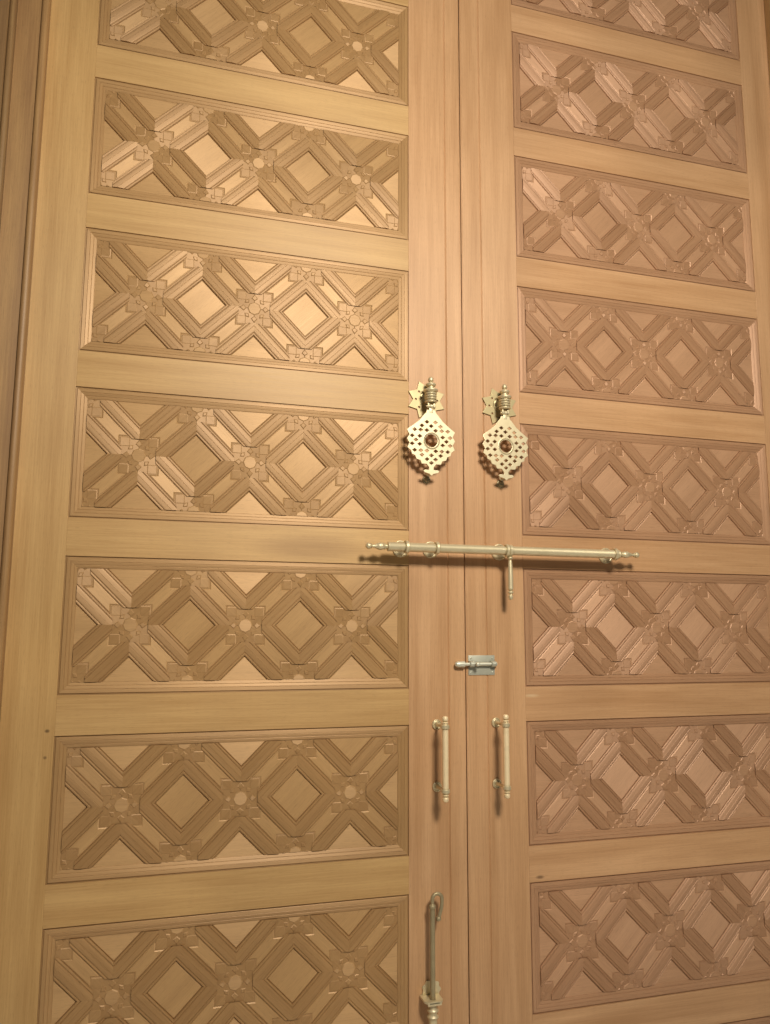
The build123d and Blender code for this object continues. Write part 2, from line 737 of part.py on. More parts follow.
def main():
    parts = frame_parts()
    panel = carved_panel()
    for name, side in SIDES.items():
        parts.update(leaf_parts(name, side, panel))
        knocker_x = seam_offset + side * knocker_from_seam
        pull_x = seam_offset + side * pull_from_seam
        parts[f"{name}_knocker_hanger"] = knocker_hanger(knocker_x)
        parts[f"{name}_knocker_plate"] = knocker_plate(knocker_x)
        parts[f"{name}_knocker_stud"] = knocker_stud(knocker_x)
        parts[f"{name}_pull_bar"] = pull_bar(pull_x)
        ends = (pull_z - pull_post_spacing / 2, pull_z + pull_post_spacing / 2)
        parts[f"{name}_pull_posts"] = [pull_post(pull_x, z) for z in ends]
    parts.update(hinge_parts())
    parts.update(bar_bolt_parts())
    parts.update(small_bolt_parts())
    parts["foot_bolt_rod"] = foot_bolt_rod()
    parts["foot_bolt_barrel"] = foot_bolt_barrel()
    parts["foot_bolt_guides"] = [foot_guide(foot_barrel_top), foot_guide(foot_lower_guide)]
    for name, solids in parts.items():
        write(name, solids)


main()
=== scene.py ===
import math
import random

import bmesh
import bpy
from bpy.props import FloatProperty, FloatVectorProperty, IntProperty
from mathutils import Matrix, Vector


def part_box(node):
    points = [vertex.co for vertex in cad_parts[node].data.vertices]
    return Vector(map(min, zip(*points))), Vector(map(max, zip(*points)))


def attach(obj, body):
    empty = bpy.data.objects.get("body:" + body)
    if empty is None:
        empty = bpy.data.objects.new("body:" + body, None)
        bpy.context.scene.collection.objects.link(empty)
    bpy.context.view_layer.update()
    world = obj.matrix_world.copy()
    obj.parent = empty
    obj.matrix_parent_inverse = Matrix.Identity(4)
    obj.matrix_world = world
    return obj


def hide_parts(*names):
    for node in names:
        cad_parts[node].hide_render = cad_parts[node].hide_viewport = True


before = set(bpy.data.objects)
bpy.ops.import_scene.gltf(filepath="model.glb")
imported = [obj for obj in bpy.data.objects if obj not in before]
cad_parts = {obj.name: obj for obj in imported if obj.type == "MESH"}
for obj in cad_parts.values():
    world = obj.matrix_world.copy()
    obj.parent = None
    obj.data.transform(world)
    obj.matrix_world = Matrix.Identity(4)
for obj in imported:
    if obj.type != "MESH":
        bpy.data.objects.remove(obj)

bl_info = {
    "name": "Carved Temple Door",
    "version": (1, 0, 0),
    "blender": (4, 5, 0),
    "location": "View3D > Sidebar > Temple Door",
    "description": "Carves the lattice panels of a double door and finishes its wood and brass",
    "category": "Object",
}

MM = 0.001
SIDES = {"left": -1, "right": 1}
ROWS = sum(1 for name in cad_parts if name.startswith("left_panel_"))
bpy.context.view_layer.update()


# Settings


class CarvingSizes(bpy.types.PropertyGroup):
    """Sizes of the carved lattice, measured from the leaf's near face."""

    border_width: FloatProperty(
        name="Border width", description="Width of the moulded border round the carving",
        default=0.022, unit="LENGTH")
    strap_crest: FloatProperty(
        name="Strap crest", description="Depth of the top of the straps", default=0.0020, unit="LENGTH")
    bar_depth: FloatProperty(
        name="Bar depth", description="Depth of the smooth bars between straps", default=0.0044,
        unit="LENGTH")
    plaque_depth: FloatProperty(
        name="Plaque depth", description="Depth of the smooth diamonds inside the straps",
        default=0.0062, unit="LENGTH")
    floor_depth: FloatProperty(
        name="Floor depth", description="Depth of the ground between the pieces", default=0.0100,
        unit="LENGTH")
    spacings: FloatProperty(
        name="Star spacings", description="Lattice pitches across the carved field", default=2.91)
    gap_depth: FloatProperty(
        name="Gap depth", description="Depth of the fine line between a panel and its rails",
        default=0.0030, unit="LENGTH")


class WoodLook(bpy.types.PropertyGroup):
    """Colours and polish of the three kinds of wood."""

    leaf_light: FloatVectorProperty(
        name="Leaf, light", description="Lighter grain of stiles and rails", subtype="COLOR",
        default=(0.62, 0.385, 0.155))
    leaf_dark: FloatVectorProperty(
        name="Leaf, dark", description="Darker grain of stiles and rails", subtype="COLOR",
        default=(0.46, 0.26, 0.092))
    # Painted light: this tint stands in for pinker light on the right leaf and the meeting stiles, not
    # for the wood's colour.
    painted_rosy_light: FloatVectorProperty(
        name="Rosy tint", description="Tint of the right leaf and of both meeting stiles",
        subtype="COLOR", default=(1.04, 0.985, 1.26))
    carved_light: FloatVectorProperty(
        name="Carving, light", description="Colour of the smooth plaques and bars", subtype="COLOR",
        default=(0.605, 0.366, 0.162))
    # The straps' dark colour is partly their wood and partly painted shade for their fine grooves.
    carved_dark: FloatVectorProperty(
        name="Carving, dark", description="Colour of the straps", subtype="COLOR",
        default=(0.370, 0.204, 0.081))
    frame_light: FloatVectorProperty(
        name="Frame, light", description="Lighter grain of posts and casing", subtype="COLOR",
        default=(0.44, 0.255, 0.100))
    frame_dark: FloatVectorProperty(
        name="Frame, dark", description="Darker grain of posts and casing", subtype="COLOR",
        default=(0.29, 0.155, 0.062))
    polish: FloatProperty(
        name="Polish", description="Roughness of the varnish", default=0.50, min=0.05, max=1.0,
        subtype="FACTOR")
    sheen: FloatProperty(
        name="Sheen", description="Share of the light that the fibres throw back across the grain",
        default=0.11, min=0.0, max=1.0, subtype="FACTOR")


class FittingLook(bpy.types.PropertyGroup):
    """Metal of the bolts, pulls, knockers and hinges."""

    brass: FloatVectorProperty(
        name="Brass", description="Pale polished brass", subtype="COLOR", default=(0.76, 0.65, 0.42))
    # The pull brass is warmer in hue and also brighter than the other brass; the extra brightness is
    # painted light.
    pull: FloatVectorProperty(
        name="Pull brass", description="Warm brass of the pull handles", subtype="COLOR",
        default=(1.0, 0.80, 0.50))
    # Tarnish is also the colour of the painted shade close to the door.
    tarnish: FloatVectorProperty(
        name="Tarnish", description="Brass dulled in hollows", subtype="COLOR",
        default=(0.42, 0.34, 0.17))
    nickel: FloatVectorProperty(
        name="Nickel", description="Plating of the small bolt", subtype="COLOR",
        default=(0.80, 0.79, 0.64))
    worn: FloatVectorProperty(
        name="Worn steel", description="Grey-brown rod of the foot bolt", subtype="COLOR",
        default=(0.44, 0.36, 0.21))
    hinge: FloatVectorProperty(
        name="Hinge brass", description="Dull brass of the hinges", subtype="COLOR",
        default=(0.58, 0.43, 0.20))
    roughness: FloatProperty(
        name="Roughness", description="Roughness of the metal", default=0.42, min=0.05,
        max=1.0, subtype="FACTOR")
    turned_sides: IntProperty(
        name="Turned sides", description="Sides of each turned form", default=40, min=12, max=96)


class StageLook(bpy.types.PropertyGroup):
    """Lamps, floor and camera."""

    lamp_place: FloatVectorProperty(
        name="Lamp place", description="Middle of the lamp above the door's near side",
        subtype="TRANSLATION", default=(-0.03, -2.00, 2.88))
    lamp_tilt: FloatProperty(
        name="Lamp tilt", description="Lean of the lamp towards the door", default=math.radians(49.0),
        unit="ROTATION")
    lamp_size: FloatVectorProperty(
        name="Lamp size", description="Width and depth of the lamp", size=2, default=(0.42, 0.38))
    lamp_power: FloatProperty(name="Lamp power", description="Power of the lamp in watts", default=57.0)
    back_power: FloatProperty(
        name="Back lamp power", description="Power of the soft lamp behind the door", default=90.0)
    side_power: FloatProperty(
        name="Side lamp power", description="Power of each soft lamp beside the door", default=45.0)
    fill_power: FloatProperty(
        name="Fill", description="Strength of the light from all round", default=0.08)
    floor_colour: FloatVectorProperty(
        name="Floor", description="Colour of the floor", subtype="COLOR", default=(0.72, 0.70, 0.66))
    camera_place: FloatVectorProperty(
        name="Camera place", description="Where the camera stands", subtype="TRANSLATION",
        default=(-0.72836, -1.75681, 1.51002))
    camera_turn: FloatProperty(
        name="Camera turn", description="Turn to the right", default=math.radians(16.66),
        unit="ROTATION")
    camera_tilt: FloatProperty(
        name="Camera tilt", description="Tilt upwards", default=math.radians(8.35), unit="ROTATION")
    camera_roll: FloatProperty(
        name="Camera roll", description="Lean of the camera", default=math.radians(0.21),
        unit="ROTATION")
    lens: FloatProperty(
        name="Lens", description="Focal length for a 36 mm long side", default=28.2, unit="CAMERA")


# Shader building


class NodeSheet:
    """The shader tree of one material, built a node at a time."""

    def __init__(self, name):
        self.material = bpy.data.materials.new(name)
        self.material.use_nodes = True
        self.tree = self.material.node_tree
        self.shader = self.tree.nodes["Principled BSDF"]

    def feed(self, target, value):
        if isinstance(value, bpy.types.NodeSocket):
            self.tree.links.new(value, target)
        else:
            target.default_value = value

    def node(self, kind, **settings):
        made = self.tree.nodes.new(kind)
        for key, value in settings.items():
            setattr(made, key, value)
        return made

    def math(self, operation, *values):
        made = self.node("ShaderNodeMath", operation=operation)
        for socket, value in zip(made.inputs, values):
            self.feed(socket, value)
        return made.outputs[0]

    def vector_math(self, operation, *values):
        made = self.node("ShaderNodeVectorMath", operation=operation)
        for socket, value in zip(made.inputs, values):
            self.feed(socket, value)
        return made.outputs["Value" if operation in ("LENGTH", "DISTANCE") else "Vector"]

    def noise(self, vector, scale, detail=2.0, roughness=0.5, distortion=0.0):
        made = self.node("ShaderNodeTexNoise")
        values = {"Vector": vector, "Scale": scale, "Detail": detail, "Roughness": roughness,
                  "Distortion": distortion}
        for key, value in values.items():
            self.feed(made.inputs[key], value)
        return made.outputs["Fac"]

    def span(self, value, low, high, out_low=0.0, out_high=1.0):
        """Spread a value's range from low and high over out_low and out_high, and clamp it."""
        made = self.node("ShaderNodeMapRange")
        for socket, item in zip(made.inputs, (value, low, high, out_low, out_high)):
            self.feed(socket, item)
        return made.outputs["Result"]

    def mix(self, share, first, second, blend_type="MIX"):
        made = self.node("ShaderNodeMix", data_type="RGBA", blend_type=blend_type)
        for index, value in ((0, share), (6, first), (7, second)):
            self.feed(made.inputs[index], value)
        return made.outputs[2]

    def weigh(self, first, first_share, second, second_share):
        """The sum of two values, each times its share."""
        return self.math("ADD", self.math("MULTIPLY", first, first_share),
                         self.math("MULTIPLY", second, second_share))

    def openness(self, distance):
        """How open a place is, from 0 in a hollow to 1."""
        made = self.node("ShaderNodeAmbientOcclusion", samples=6)
        self.feed(made.inputs["Distance"], distance)
        return made.outputs["AO"]

    def bump(self, height, distance, strength):
        made = self.node("ShaderNodeBump")
        for key, value in {"Height": height, "Distance": distance, "Strength": strength}.items():
            self.feed(made.inputs[key], value)
        self.feed(self.shader.inputs["Normal"], made.outputs["Normal"])

    def set(self, **values):
        for key, value in values.items():
            self.feed(self.shader.inputs[key.replace("_", " ")], value)


def rgba(colour):
    return (*colour, 1.0)


def shaded(colour, share, tint=(1.0, 1.0, 1.0)):
    return [share * part * hue for part, hue in zip(colour, tint)]


def spots(sheet, place, colour, marks):
    """Stain a colour at each mark, given as (x, z, half width, half height, strength, shade)."""
    for x, z, wide, high, strength, shade in marks:
        away = sheet.vector_math("SUBTRACT", place, (x, 0.0, z))
        scaled = sheet.vector_math("MULTIPLY", away, (1.0 / wide, 0.0, 1.0 / high))
        distance = sheet.vector_math("LENGTH", scaled)
        share = sheet.span(distance, 0.35, 1.0, strength, 0.0)
        colour = sheet.mix(share, colour, rgba(shade))
    return colour


def straight_grain(sheet, place, upright):
    """Places along the grain of a straight board, and the direction across it."""
    turn = sheet.node("ShaderNodeVectorRotate", rotation_type="Y_AXIS")
    sheet.feed(turn.inputs["Vector"], place)
    sheet.feed(turn.inputs["Angle"], math.radians(90.0 if upright else 0.0))
    return turn.outputs["Vector"], (1.0, 0.0, 0.0) if upright else (0.0, 0.0, 1.0)


def carved_grain(sheet):
    """Places along the grain, the direction across it and the tone, as the carved faces store them."""
    grain, turn, tone = (sheet.node("ShaderNodeAttribute", attribute_name=name).outputs
                         for name in ("grain", "turn", "tone"))
    across = sheet.node("ShaderNodeCombineXYZ")
    sheet.feed(across.inputs["X"], sheet.math("MULTIPLY", sheet.math("SINE", turn["Fac"]), -1.0))
    sheet.feed(across.inputs["Z"], sheet.math("COSINE", turn["Fac"]))
    return grain["Vector"], across.outputs["Vector"], tone["Fac"]


def fibre_sheen(sheet, across, amount, spread):
    """Spread the highlight across the grain, as polished fibres do."""
    turned = sheet.node("ShaderNodeVectorTransform", vector_type="VECTOR", convert_from="OBJECT",
                        convert_to="WORLD")
    sheet.feed(turned.inputs[0], across)
    sheet.set(Tangent=turned.outputs[0], Anisotropic=spread, Metallic=amount)


# How fine each part of the grain is along and across its direction
BROAD_GRAIN = (1.4, 26.0, 26.0)
FINE_GRAIN = (7.0, 330.0, 330.0)
PORES = (55.0, 1500.0, 1500.0)


def wood(key, kind, direction, painted_rosy_light=False, painted_shade=1.0, marks=()):
    """Varnished wood whose grain runs upright, level or as the carved pieces say."""
    look = bpy.context.scene.door_wood
    # Painted light: the pinker tint stands in for the colour of the light on these parts.
    tint = look.painted_rosy_light if painted_rosy_light else (1.0, 1.0, 1.0)
    # Painted shade: a share below 1 darkens both colours for a part that stands in shade.
    light, dark = (shaded(getattr(look, f"{kind}_{end}"), painted_shade, tint) for end in ("light", "dark"))
    sheet = NodeSheet(f"{key}_wood")
    place = sheet.node("ShaderNodeTexCoord").outputs["Object"]
    carved = direction == "carved"
    if carved:
        along, across, tone = carved_grain(sheet)
    else:
        along, across = straight_grain(sheet, place, direction == "upright")
    broad = sheet.noise(sheet.vector_math("MULTIPLY", along, BROAD_GRAIN), 1.0, 4.0, 0.55, 0.35)
    fine = sheet.noise(sheet.vector_math("MULTIPLY", along, FINE_GRAIN), 1.0, 3.0, 0.6)
    pores = sheet.noise(sheet.vector_math("MULTIPLY", along, PORES), 1.0, 1.0, 0.5)
    cloud = sheet.noise(place, 2.6)
    share = sheet.span(sheet.weigh(broad, 0.62, fine, 0.38), 0.36, 0.64)
    # The straps and the star cells' ground get low tones and so the dark colour: partly their wood,
    # partly painted shade for their fine grooves.
    if carved:
        share = sheet.span(sheet.weigh(share, 0.42, tone, 0.72), 0.0, 1.1)
    colour = sheet.mix(share, rgba(dark), rgba(light))
    colour = sheet.mix(1.0, colour, sheet.span(cloud, 0.3, 0.7, 0.90, 1.07), "MULTIPLY")
    specks = sheet.span(pores, 0.60, 0.72, 0.0, 0.35)
    colour = sheet.mix(specks, colour, rgba(shaded(dark, 0.55)))
    # Painted shade: the carving is painted darker in its hollows, where shade falls.
    if carved:
        hollow_shade = sheet.span(sheet.openness(0.010), 0.25, 0.70, 0.45, 0.0)
        colour = sheet.mix(hollow_shade, colour, rgba(shaded(dark, 0.50)))
    colour = spots(sheet, place, colour, marks)
    roughness = sheet.math("ADD", sheet.math("MULTIPLY", fine, 0.16), look.polish - 0.08)
    sheet.set(Base_Color=colour, Roughness=roughness)
    amount, spread = (1.6, 0.8) if carved else (0.36, 0.35)
    fibre_sheen(sheet, across, amount * look.sheen, spread)
    sheet.bump(sheet.weigh(fine, 0.7, pores, 0.3), 0.00025, 0.6)
    return sheet.material


def metal(name, bright="brass", dull="tarnish", bright_share=1.0, dull_share=1.0, rougher=0.0,
          gleam=0.55, foot=0.0):
    """Cast or turned metal, dulled in its hollows and, by a share, painted darker as painted shade
    where it lies close to the door.
    """
    look = bpy.context.scene.door_fittings
    sheet = NodeSheet(name)
    place = sheet.node("ShaderNodeTexCoord").outputs["Object"]
    cloud = sheet.noise(place, 38.0, 4.0, 0.6)
    worn = sheet.span(sheet.openness(0.006), 0.35, 0.95, 0.85, 0.0)
    share = sheet.math("MAXIMUM", worn, sheet.span(cloud, 0.45, 0.75, 0.0, 0.30))
    # Painted shade: the metal is darkened towards the tarnish colour close to the door, fully within 5
    # mm and fading out by 14 mm.
    if foot:
        depth = sheet.node("ShaderNodeSeparateXYZ")
        sheet.feed(depth.inputs[0], place)
        share = sheet.math("MAXIMUM", share, sheet.span(depth.outputs["Y"], -0.014, -0.005, 0.0, foot))
    colour = sheet.mix(share, rgba(shaded(getattr(look, bright), bright_share)),
                       rgba(shaded(getattr(look, dull), dull_share)))
    rough = sheet.math("ADD", sheet.math("MULTIPLY", cloud, 0.22), look.roughness + rougher - 0.08)
    sheet.set(Base_Color=colour, Metallic=gleam, Roughness=rough)
    sheet.bump(sheet.noise(place, 900.0), 0.00006, 0.5)
    return sheet.material


WOODS = {
    "left_stile": dict(kind="leaf", direction="upright", marks=[
        (-0.8990, 1.3090, 0.0060, 0.0045, 0.75, (0.07, 0.035, 0.015)),
        (-0.9000, 1.2580, 0.0045, 0.0040, 0.60, (0.07, 0.035, 0.015))]),
    # Painted light: the rosy parts get a pinker tint that stands in for the light there.
    "stile": dict(kind="leaf", direction="upright", painted_rosy_light=True),
    "left_rail": dict(kind="leaf", direction="level", marks=[
        (-0.385, 1.690, 0.140, 0.034, 0.45, (0.30, 0.155, 0.055))]),
    "right_rail": dict(kind="leaf", direction="level", painted_rosy_light=True, marks=[
        (0.160, 1.3575, 0.024, 0.0045, 0.40, (0.80, 0.62, 0.38)),
        (0.1715, 0.950, 0.0130, 0.0050, 0.70, (0.12, 0.06, 0.025))]),
    "carved": dict(kind="carved", direction="carved"),
    "right_carved": dict(kind="carved", direction="carved", painted_rosy_light=True),
    "post": dict(kind="frame", direction="upright"),
    # Painted shade: the casing is a darker copy of the frame's wood, at 0.7 of its brightness.
    "casing": dict(kind="frame", direction="upright", painted_shade=0.7),
    "lintel": dict(kind="frame", direction="level"),
}
METALS = {
    "brass": dict(name="polished_brass"),
    "hinge": dict(name="hinge_brass", bright="hinge", rougher=0.1),
    # Painted shade: the hanger's brass is darkened close to the door.
    "hanger": dict(name="dulled_brass", foot=0.85),
    # Painted light: the pulls' brass is brighter than the other brass, on top of its warmer hue.
    "pull": dict(name="warm_brass", bright="pull", rougher=0.06, gleam=0.3),
    "worn": dict(name="worn_steel", bright="worn", dull="worn", dull_share=0.45, rougher=0.06),
    "nickel": dict(name="pale_nickel", bright="nickel", dull="nickel", dull_share=0.45),
    "dull_nickel": dict(name="dull_nickel", bright="nickel", dull="nickel", bright_share=0.78,
                        dull_share=0.35),
}
MADE = {}


def material(key):
    """Each finish is made once and shared."""
    if key not in MADE:
        MADE[key] = wood(key, **WOODS[key]) if key in WOODS else metal(**METALS[key])
    return MADE[key]


# Mesh building


def linked(name, data):
    """A new object in the scene."""
    made = bpy.data.objects.new(name, data)
    bpy.context.scene.collection.objects.link(made)
    return made


def mesh_from(bm, name, finish):
    """Turn a bmesh into a mesh with one material."""
    mesh = bpy.data.meshes.new(name)
    bm.to_mesh(mesh)
    bm.free()
    mesh.materials.append(finish)
    return mesh


def finish_piece(bm, name, key, body, node=None, smooth=32):
    """Turn a bmesh into a piece that rides on its body, in place of its CAD node if it has one."""
    bmesh.ops.recalc_face_normals(bm, faces=bm.faces)
    mesh = mesh_from(bm, name, material(key))
    mesh.shade_smooth()
    mesh.set_sharp_from_angle(angle=math.radians(smooth))
    piece = linked(name, mesh)
    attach(piece, body)
    if node:
        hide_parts(node)


def strip(bm, first, second):
    """Faces between two closed loops of as many points."""
    count = len(first)
    return [bm.faces.new((first[k], first[(k + 1) % count], second[(k + 1) % count], second[k]))
            for k in range(count)]


def curved(knots, steps=5):
    """Points through (radius, distance, bulge) knots; a bulge bows out the stretch before its knot."""
    points = [knots[0][:2]]
    for before, knot in zip(knots, knots[1:]):
        bulge = knot[2] if len(knot) > 2 else 0.0
        (r0, h0), (r1, h1) = before[:2], knot[:2]
        if not bulge:
            points.append((r1, h1))
            continue
        length = math.hypot(r1 - r0, h1 - h0)
        out_r, out_h = (h1 - h0) / length, -(r1 - r0) / length
        for k in range(1, steps + 1):
            share = k / steps
            bow = bulge * length * 4.0 * share * (1.0 - share)
            points.append((r0 + (r1 - r0) * share + out_r * bow, h0 + (h1 - h0) * share + out_h * bow))
    return points


def add_turned(bm, knots, place, hollow=False):
    """Add a turned form from knots in millimetres along the place's Z axis; a hollow one is closed."""
    sides = bpy.context.scene.door_fittings.turned_sides
    turns = [2.0 * math.pi * k / sides for k in range(sides)]
    rings = []
    for radius, height in curved(knots):
        ring = [bm.verts.new(place @ Vector((MM * radius * math.cos(t), MM * radius * math.sin(t),
                                             MM * height))) for t in turns]
        rings.append(ring)
    for low, high in zip(rings, rings[1:]):
        strip(bm, low, high)
    if hollow:
        strip(bm, rings[-1], rings[0])
    else:
        bm.faces.new(rings[0])
        bm.faces.new(rings[-1])


def at(x, y, z, towards="Z"):
    """A place at a point with its Z axis along X, Z, down or out from the door."""
    turns = {"Z": Matrix.Identity(4), "down": Matrix.Rotation(math.pi, 4, "X"),
             "X": Matrix.Rotation(math.pi / 2, 4, "Y"), "near": Matrix.Rotation(math.pi / 2, 4, "X")}
    return Matrix.Translation((x, y, z)) @ turns[towards]


def middle(node):
    low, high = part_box(node)
    return (low + high) / 2


def shifted(points, x, z):
    return [(x + px, z + pz) for px, pz in points]


def add_block(bm, low, high, soften):
    """Add a block between two corners with softened edges."""
    low, high = Vector(low), Vector(high)
    made = bmesh.ops.create_cube(bm, size=1.0)["verts"]
    size = high - low
    for vert in made:
        vert.co = low + Vector((size[i] * (vert.co[i] + 0.5) for i in range(3)))
    edges = {edge for vert in made for edge in vert.link_edges}
    bmesh.ops.bevel(bm, geom=list(edges), offset=soften, segments=2, profile=0.6, affect="EDGES")


def inset_outline(points, distance):
    """Move each edge of a closed outline, given anticlockwise, inwards by a distance."""
    moved = []
    count = len(points)
    for k in range(count):
        before, here, after = (Vector(points[(k + i) % count]) for i in (-1, 0, 1))
        first, second = (here - before).normalized(), (after - here).normalized()
        first_in, second_in = Vector((-first.y, first.x)), Vector((-second.y, second.x))
        share = first_in + second_in
        share *= distance / max(0.2, 0.5 * share.length_squared)
        moved.append(here + share)
    return moved


# Carved panels


class Relief:
    """The lattice of one panel, in lattice pitches about the middle of the panel's near face."""

    def __init__(self, pitch, bed):
        self.pitch = pitch
        self.bed = bed
        self.bm = bmesh.new()
        self.turn = self.bm.faces.layers.float.new("turn")
        self.tone = self.bm.faces.layers.float.new("tone")

    def point(self, x, z, depth):
        return self.bm.verts.new((self.pitch * x, depth, self.pitch * z))

    def mark(self, faces, turn, tone):
        for face in faces:
            face[self.turn] = turn
            face[self.tone] = tone

    def tile(self, outline, top, rise, inset, foot, turn, tone):
        """A raised tile: a flat top, a slope of a rise and an inset round it, and sides to its foot."""
        loops = [[self.point(x, z, foot) for x, z in outline]]
        for step, depth in ((0.0, top + rise), (inset, top)):
            moved = inset_outline(outline, step / self.pitch)
            loops.append([self.point(x, z, depth) for x, z in moved])
        faces = [self.bm.faces.new(loops[0]), self.bm.faces.new(loops[-1])]
        for low, high in zip(loops, loops[1:]):
            faces += strip(self.bm, low, high)
        self.mark(faces, turn, tone)

    def ring(self, x, z, profile, tone):
        """A moulded strap ring: an octagon outside and a diamond inside."""
        loops = []
        for half, depth in profile:
            flat, corner = min(half, STRAP_REACH), max(half - STRAP_REACH, 0.0)
            loop = []
            for sx, sz in ((1, 1), (-1, 1), (-1, -1), (1, -1)):
                pair = [(sx * flat, sz * corner), (sx * corner, sz * flat)]
                loop += pair if sx == sz else pair[::-1]
            loops.append([self.point(x + px, z + pz, depth) for px, pz in loop])
        for low, high in zip(loops, loops[1:] + loops[:1]):
            for side, face in enumerate(strip(self.bm, low, high)):
                self.mark([face], math.radians(135.0 if side in (0, 4) else 45.0), tone)


# Shares of the lattice pitch
STRAP_REACH = 0.35
STRAP_OUTER = 0.42
DIAMOND_REACH = 0.229
BAR_HALF = 0.08
CELL_HALF = 0.17
UNDER_STRAP = 0.002
QUARTER_SLIT = 0.0015
OCTAGON_REACH = 0.066
KITE_NEAR, KITE_WIDE, KITE_HALF = 0.074, 0.102, 0.034
LEVEL_KITE, SLANTED_KITE = 0.145, 0.122
SQUARE_NEAR, SQUARE_FAR = 0.076, 0.171

# Metres in a star cell: its ground below the straps' crest, and its pieces' foot below the ground
# and crest above it
STAR_GROUND = 0.0034
STAR_FOOT = 0.0008
STAR_CREST = 0.0013

# Across half a strap, in millimetres: two beads, a groove and a scored middle, as (place, depth)
HALF_STRAP = [(0.0, 4.0), (0.6, 2.2), (1.8, 1.3), (3.4, 1.3), (4.4, 1.9), (5.2, 2.7), (6.2, 1.4),
              (8.0, 0.7), (11.4, 0.3), (15.4, 0.0), (16.0, 0.5)]


def strap_profile(pitch, crest, base):
    """Half diagonals and depths across a strap, from its outer foot to its inner one."""
    middle_line = HALF_STRAP[-1][0]
    width = (STRAP_OUTER - DIAMOND_REACH) * pitch / math.sqrt(2)
    scale = width / (2.0 * middle_line * MM)
    across = HALF_STRAP + [(2 * middle_line - t, d) for t, d in reversed(HALF_STRAP[:-1])]
    profile = [(STRAP_OUTER - MM * t * scale * math.sqrt(2) / pitch, crest + MM * d) for t, d in across]
    return [(STRAP_OUTER, base)] + profile + [(DIAMOND_REACH, base)]


def quarters(x, z, near, far):
    """The square between two distances in each quarter about a point, and the way that it turns."""
    for sx in (-1, 1):
        for sz in (-1, 1):
            square = [(near, near), (far, near), (far, far), (near, far)]
            if sx * sz < 0:
                square.reverse()
            yield shifted([(sx * px, sz * pz) for px, pz in square], x, z), math.radians(45.0 * sx * sz)


def star_tiles(relief, x, z, sizes, draw):
    """The pieces of one star cell: a ground, an eight-sided middle, kites and low corner squares."""
    ground = sizes.strap_crest + STAR_GROUND
    for quarter, turn in quarters(x, z, QUARTER_SLIT, CELL_HALF + UNDER_STRAP):
        relief.tile(quarter, ground, 0.0002, 0.0004, relief.bed, turn, 0.10)
    foot = ground + STAR_FOOT
    crest = ground - STAR_CREST
    octagon = [(OCTAGON_REACH * math.cos(math.radians(t)), OCTAGON_REACH * math.sin(math.radians(t)))
               for t in range(0, 360, 45)]
    relief.tile(shifted(octagon, x, z), crest, STAR_CREST, 0.0020, foot, 0.0, 0.55)
    for k in range(8):
        angle = math.radians(45.0 * k)
        side = Vector((-math.sin(angle), math.cos(angle))) * KITE_HALF
        out = Vector((math.cos(angle), math.sin(angle)))
        far = LEVEL_KITE if k % 2 == 0 else SLANTED_KITE
        kite = [out * KITE_NEAR, out * KITE_WIDE - side, out * far, out * KITE_WIDE + side]
        relief.tile(shifted(kite, x, z), crest, STAR_CREST + 0.0002, 0.0020, foot, angle,
                    draw.uniform(0.10, 0.30))
    for square, turn in quarters(x, z, SQUARE_NEAR, SQUARE_FAR):
        relief.tile(square, ground - 0.0005, 0.0009, 0.0026, foot, turn, draw.uniform(0.08, 0.16))


def bars(relief, sizes, draw):
    """The smooth bars between neighbouring rings, with a swallow's tail at both ends."""
    near, tip = CELL_HALF - 0.25, BAR_HALF
    shape = [(near, near - tip), (-near + tip, -near), (-near, -near), (-near, -near + tip),
             (near - tip, near), (near, near)]
    for column in range(6):
        for level in (-1, 1):
            flip = 1 if (column % 2 == 1) == (level > 0) else -1
            outline = [(flip * px, pz) for px, pz in shape]
            if flip < 0:
                outline.reverse()
            relief.tile(shifted(outline, 0.5 * column - 1.25, 0.25 * level), sizes.bar_depth, 0.0020,
                        0.0028, relief.bed, math.radians(45.0 * flip), draw.uniform(0.75, 1.0))


def carved_field(pitch, half_width, half_height, sizes):
    """The whole lattice, cut off at the border."""
    draw = random.Random(7)
    relief = Relief(pitch, sizes.floor_depth + MM)
    profile = strap_profile(pitch, sizes.strap_crest, relief.bed)
    centres = [(k - 1.5, 0.0) for k in range(4)]
    centres += [(k - 1.0, level) for k in range(3) for level in (-0.5, 0.5)]
    reach = DIAMOND_REACH + UNDER_STRAP
    for x, z in centres:
        # Low tones darken the straps, partly as painted shade for their grooves.
        relief.ring(x, z, profile, draw.uniform(0.0, 0.3))
        plaque = [(x + reach, z), (x, z + reach), (x - reach, z), (x, z - reach)]
        relief.tile(plaque, sizes.plaque_depth, 0.0018, 0.0026, relief.bed,
                    draw.choice((0.0, 0.0, math.pi / 4)), draw.uniform(0.8, 1.0))
    bars(relief, sizes, draw)
    stars = [(k - 1.0, 0.0) for k in range(3)]
    stars += [(k - 1.5, level) for k in range(4) for level in (-0.5, 0.5)]
    for x, z in stars:
        star_tiles(relief, x, z, sizes, draw)
    bmesh.ops.remove_doubles(relief.bm, verts=relief.bm.verts, dist=1e-7)
    cuts = [((half_width, 0, 0), (1, 0, 0)), ((-half_width, 0, 0), (-1, 0, 0)),
            ((0, 0, half_height), (0, 0, 1)), ((0, 0, -half_height), (0, 0, -1))]
    for place, normal in cuts:
        geometry = list(relief.bm.verts) + list(relief.bm.edges) + list(relief.bm.faces)
        bmesh.ops.bisect_plane(relief.bm, geom=geometry, dist=1e-7, plane_co=place, plane_no=normal,
                               clear_outer=True)
        rim = [edge for edge in relief.bm.edges if edge.is_boundary]
        bmesh.ops.holes_fill(relief.bm, edges=rim, sides=0)
    return relief


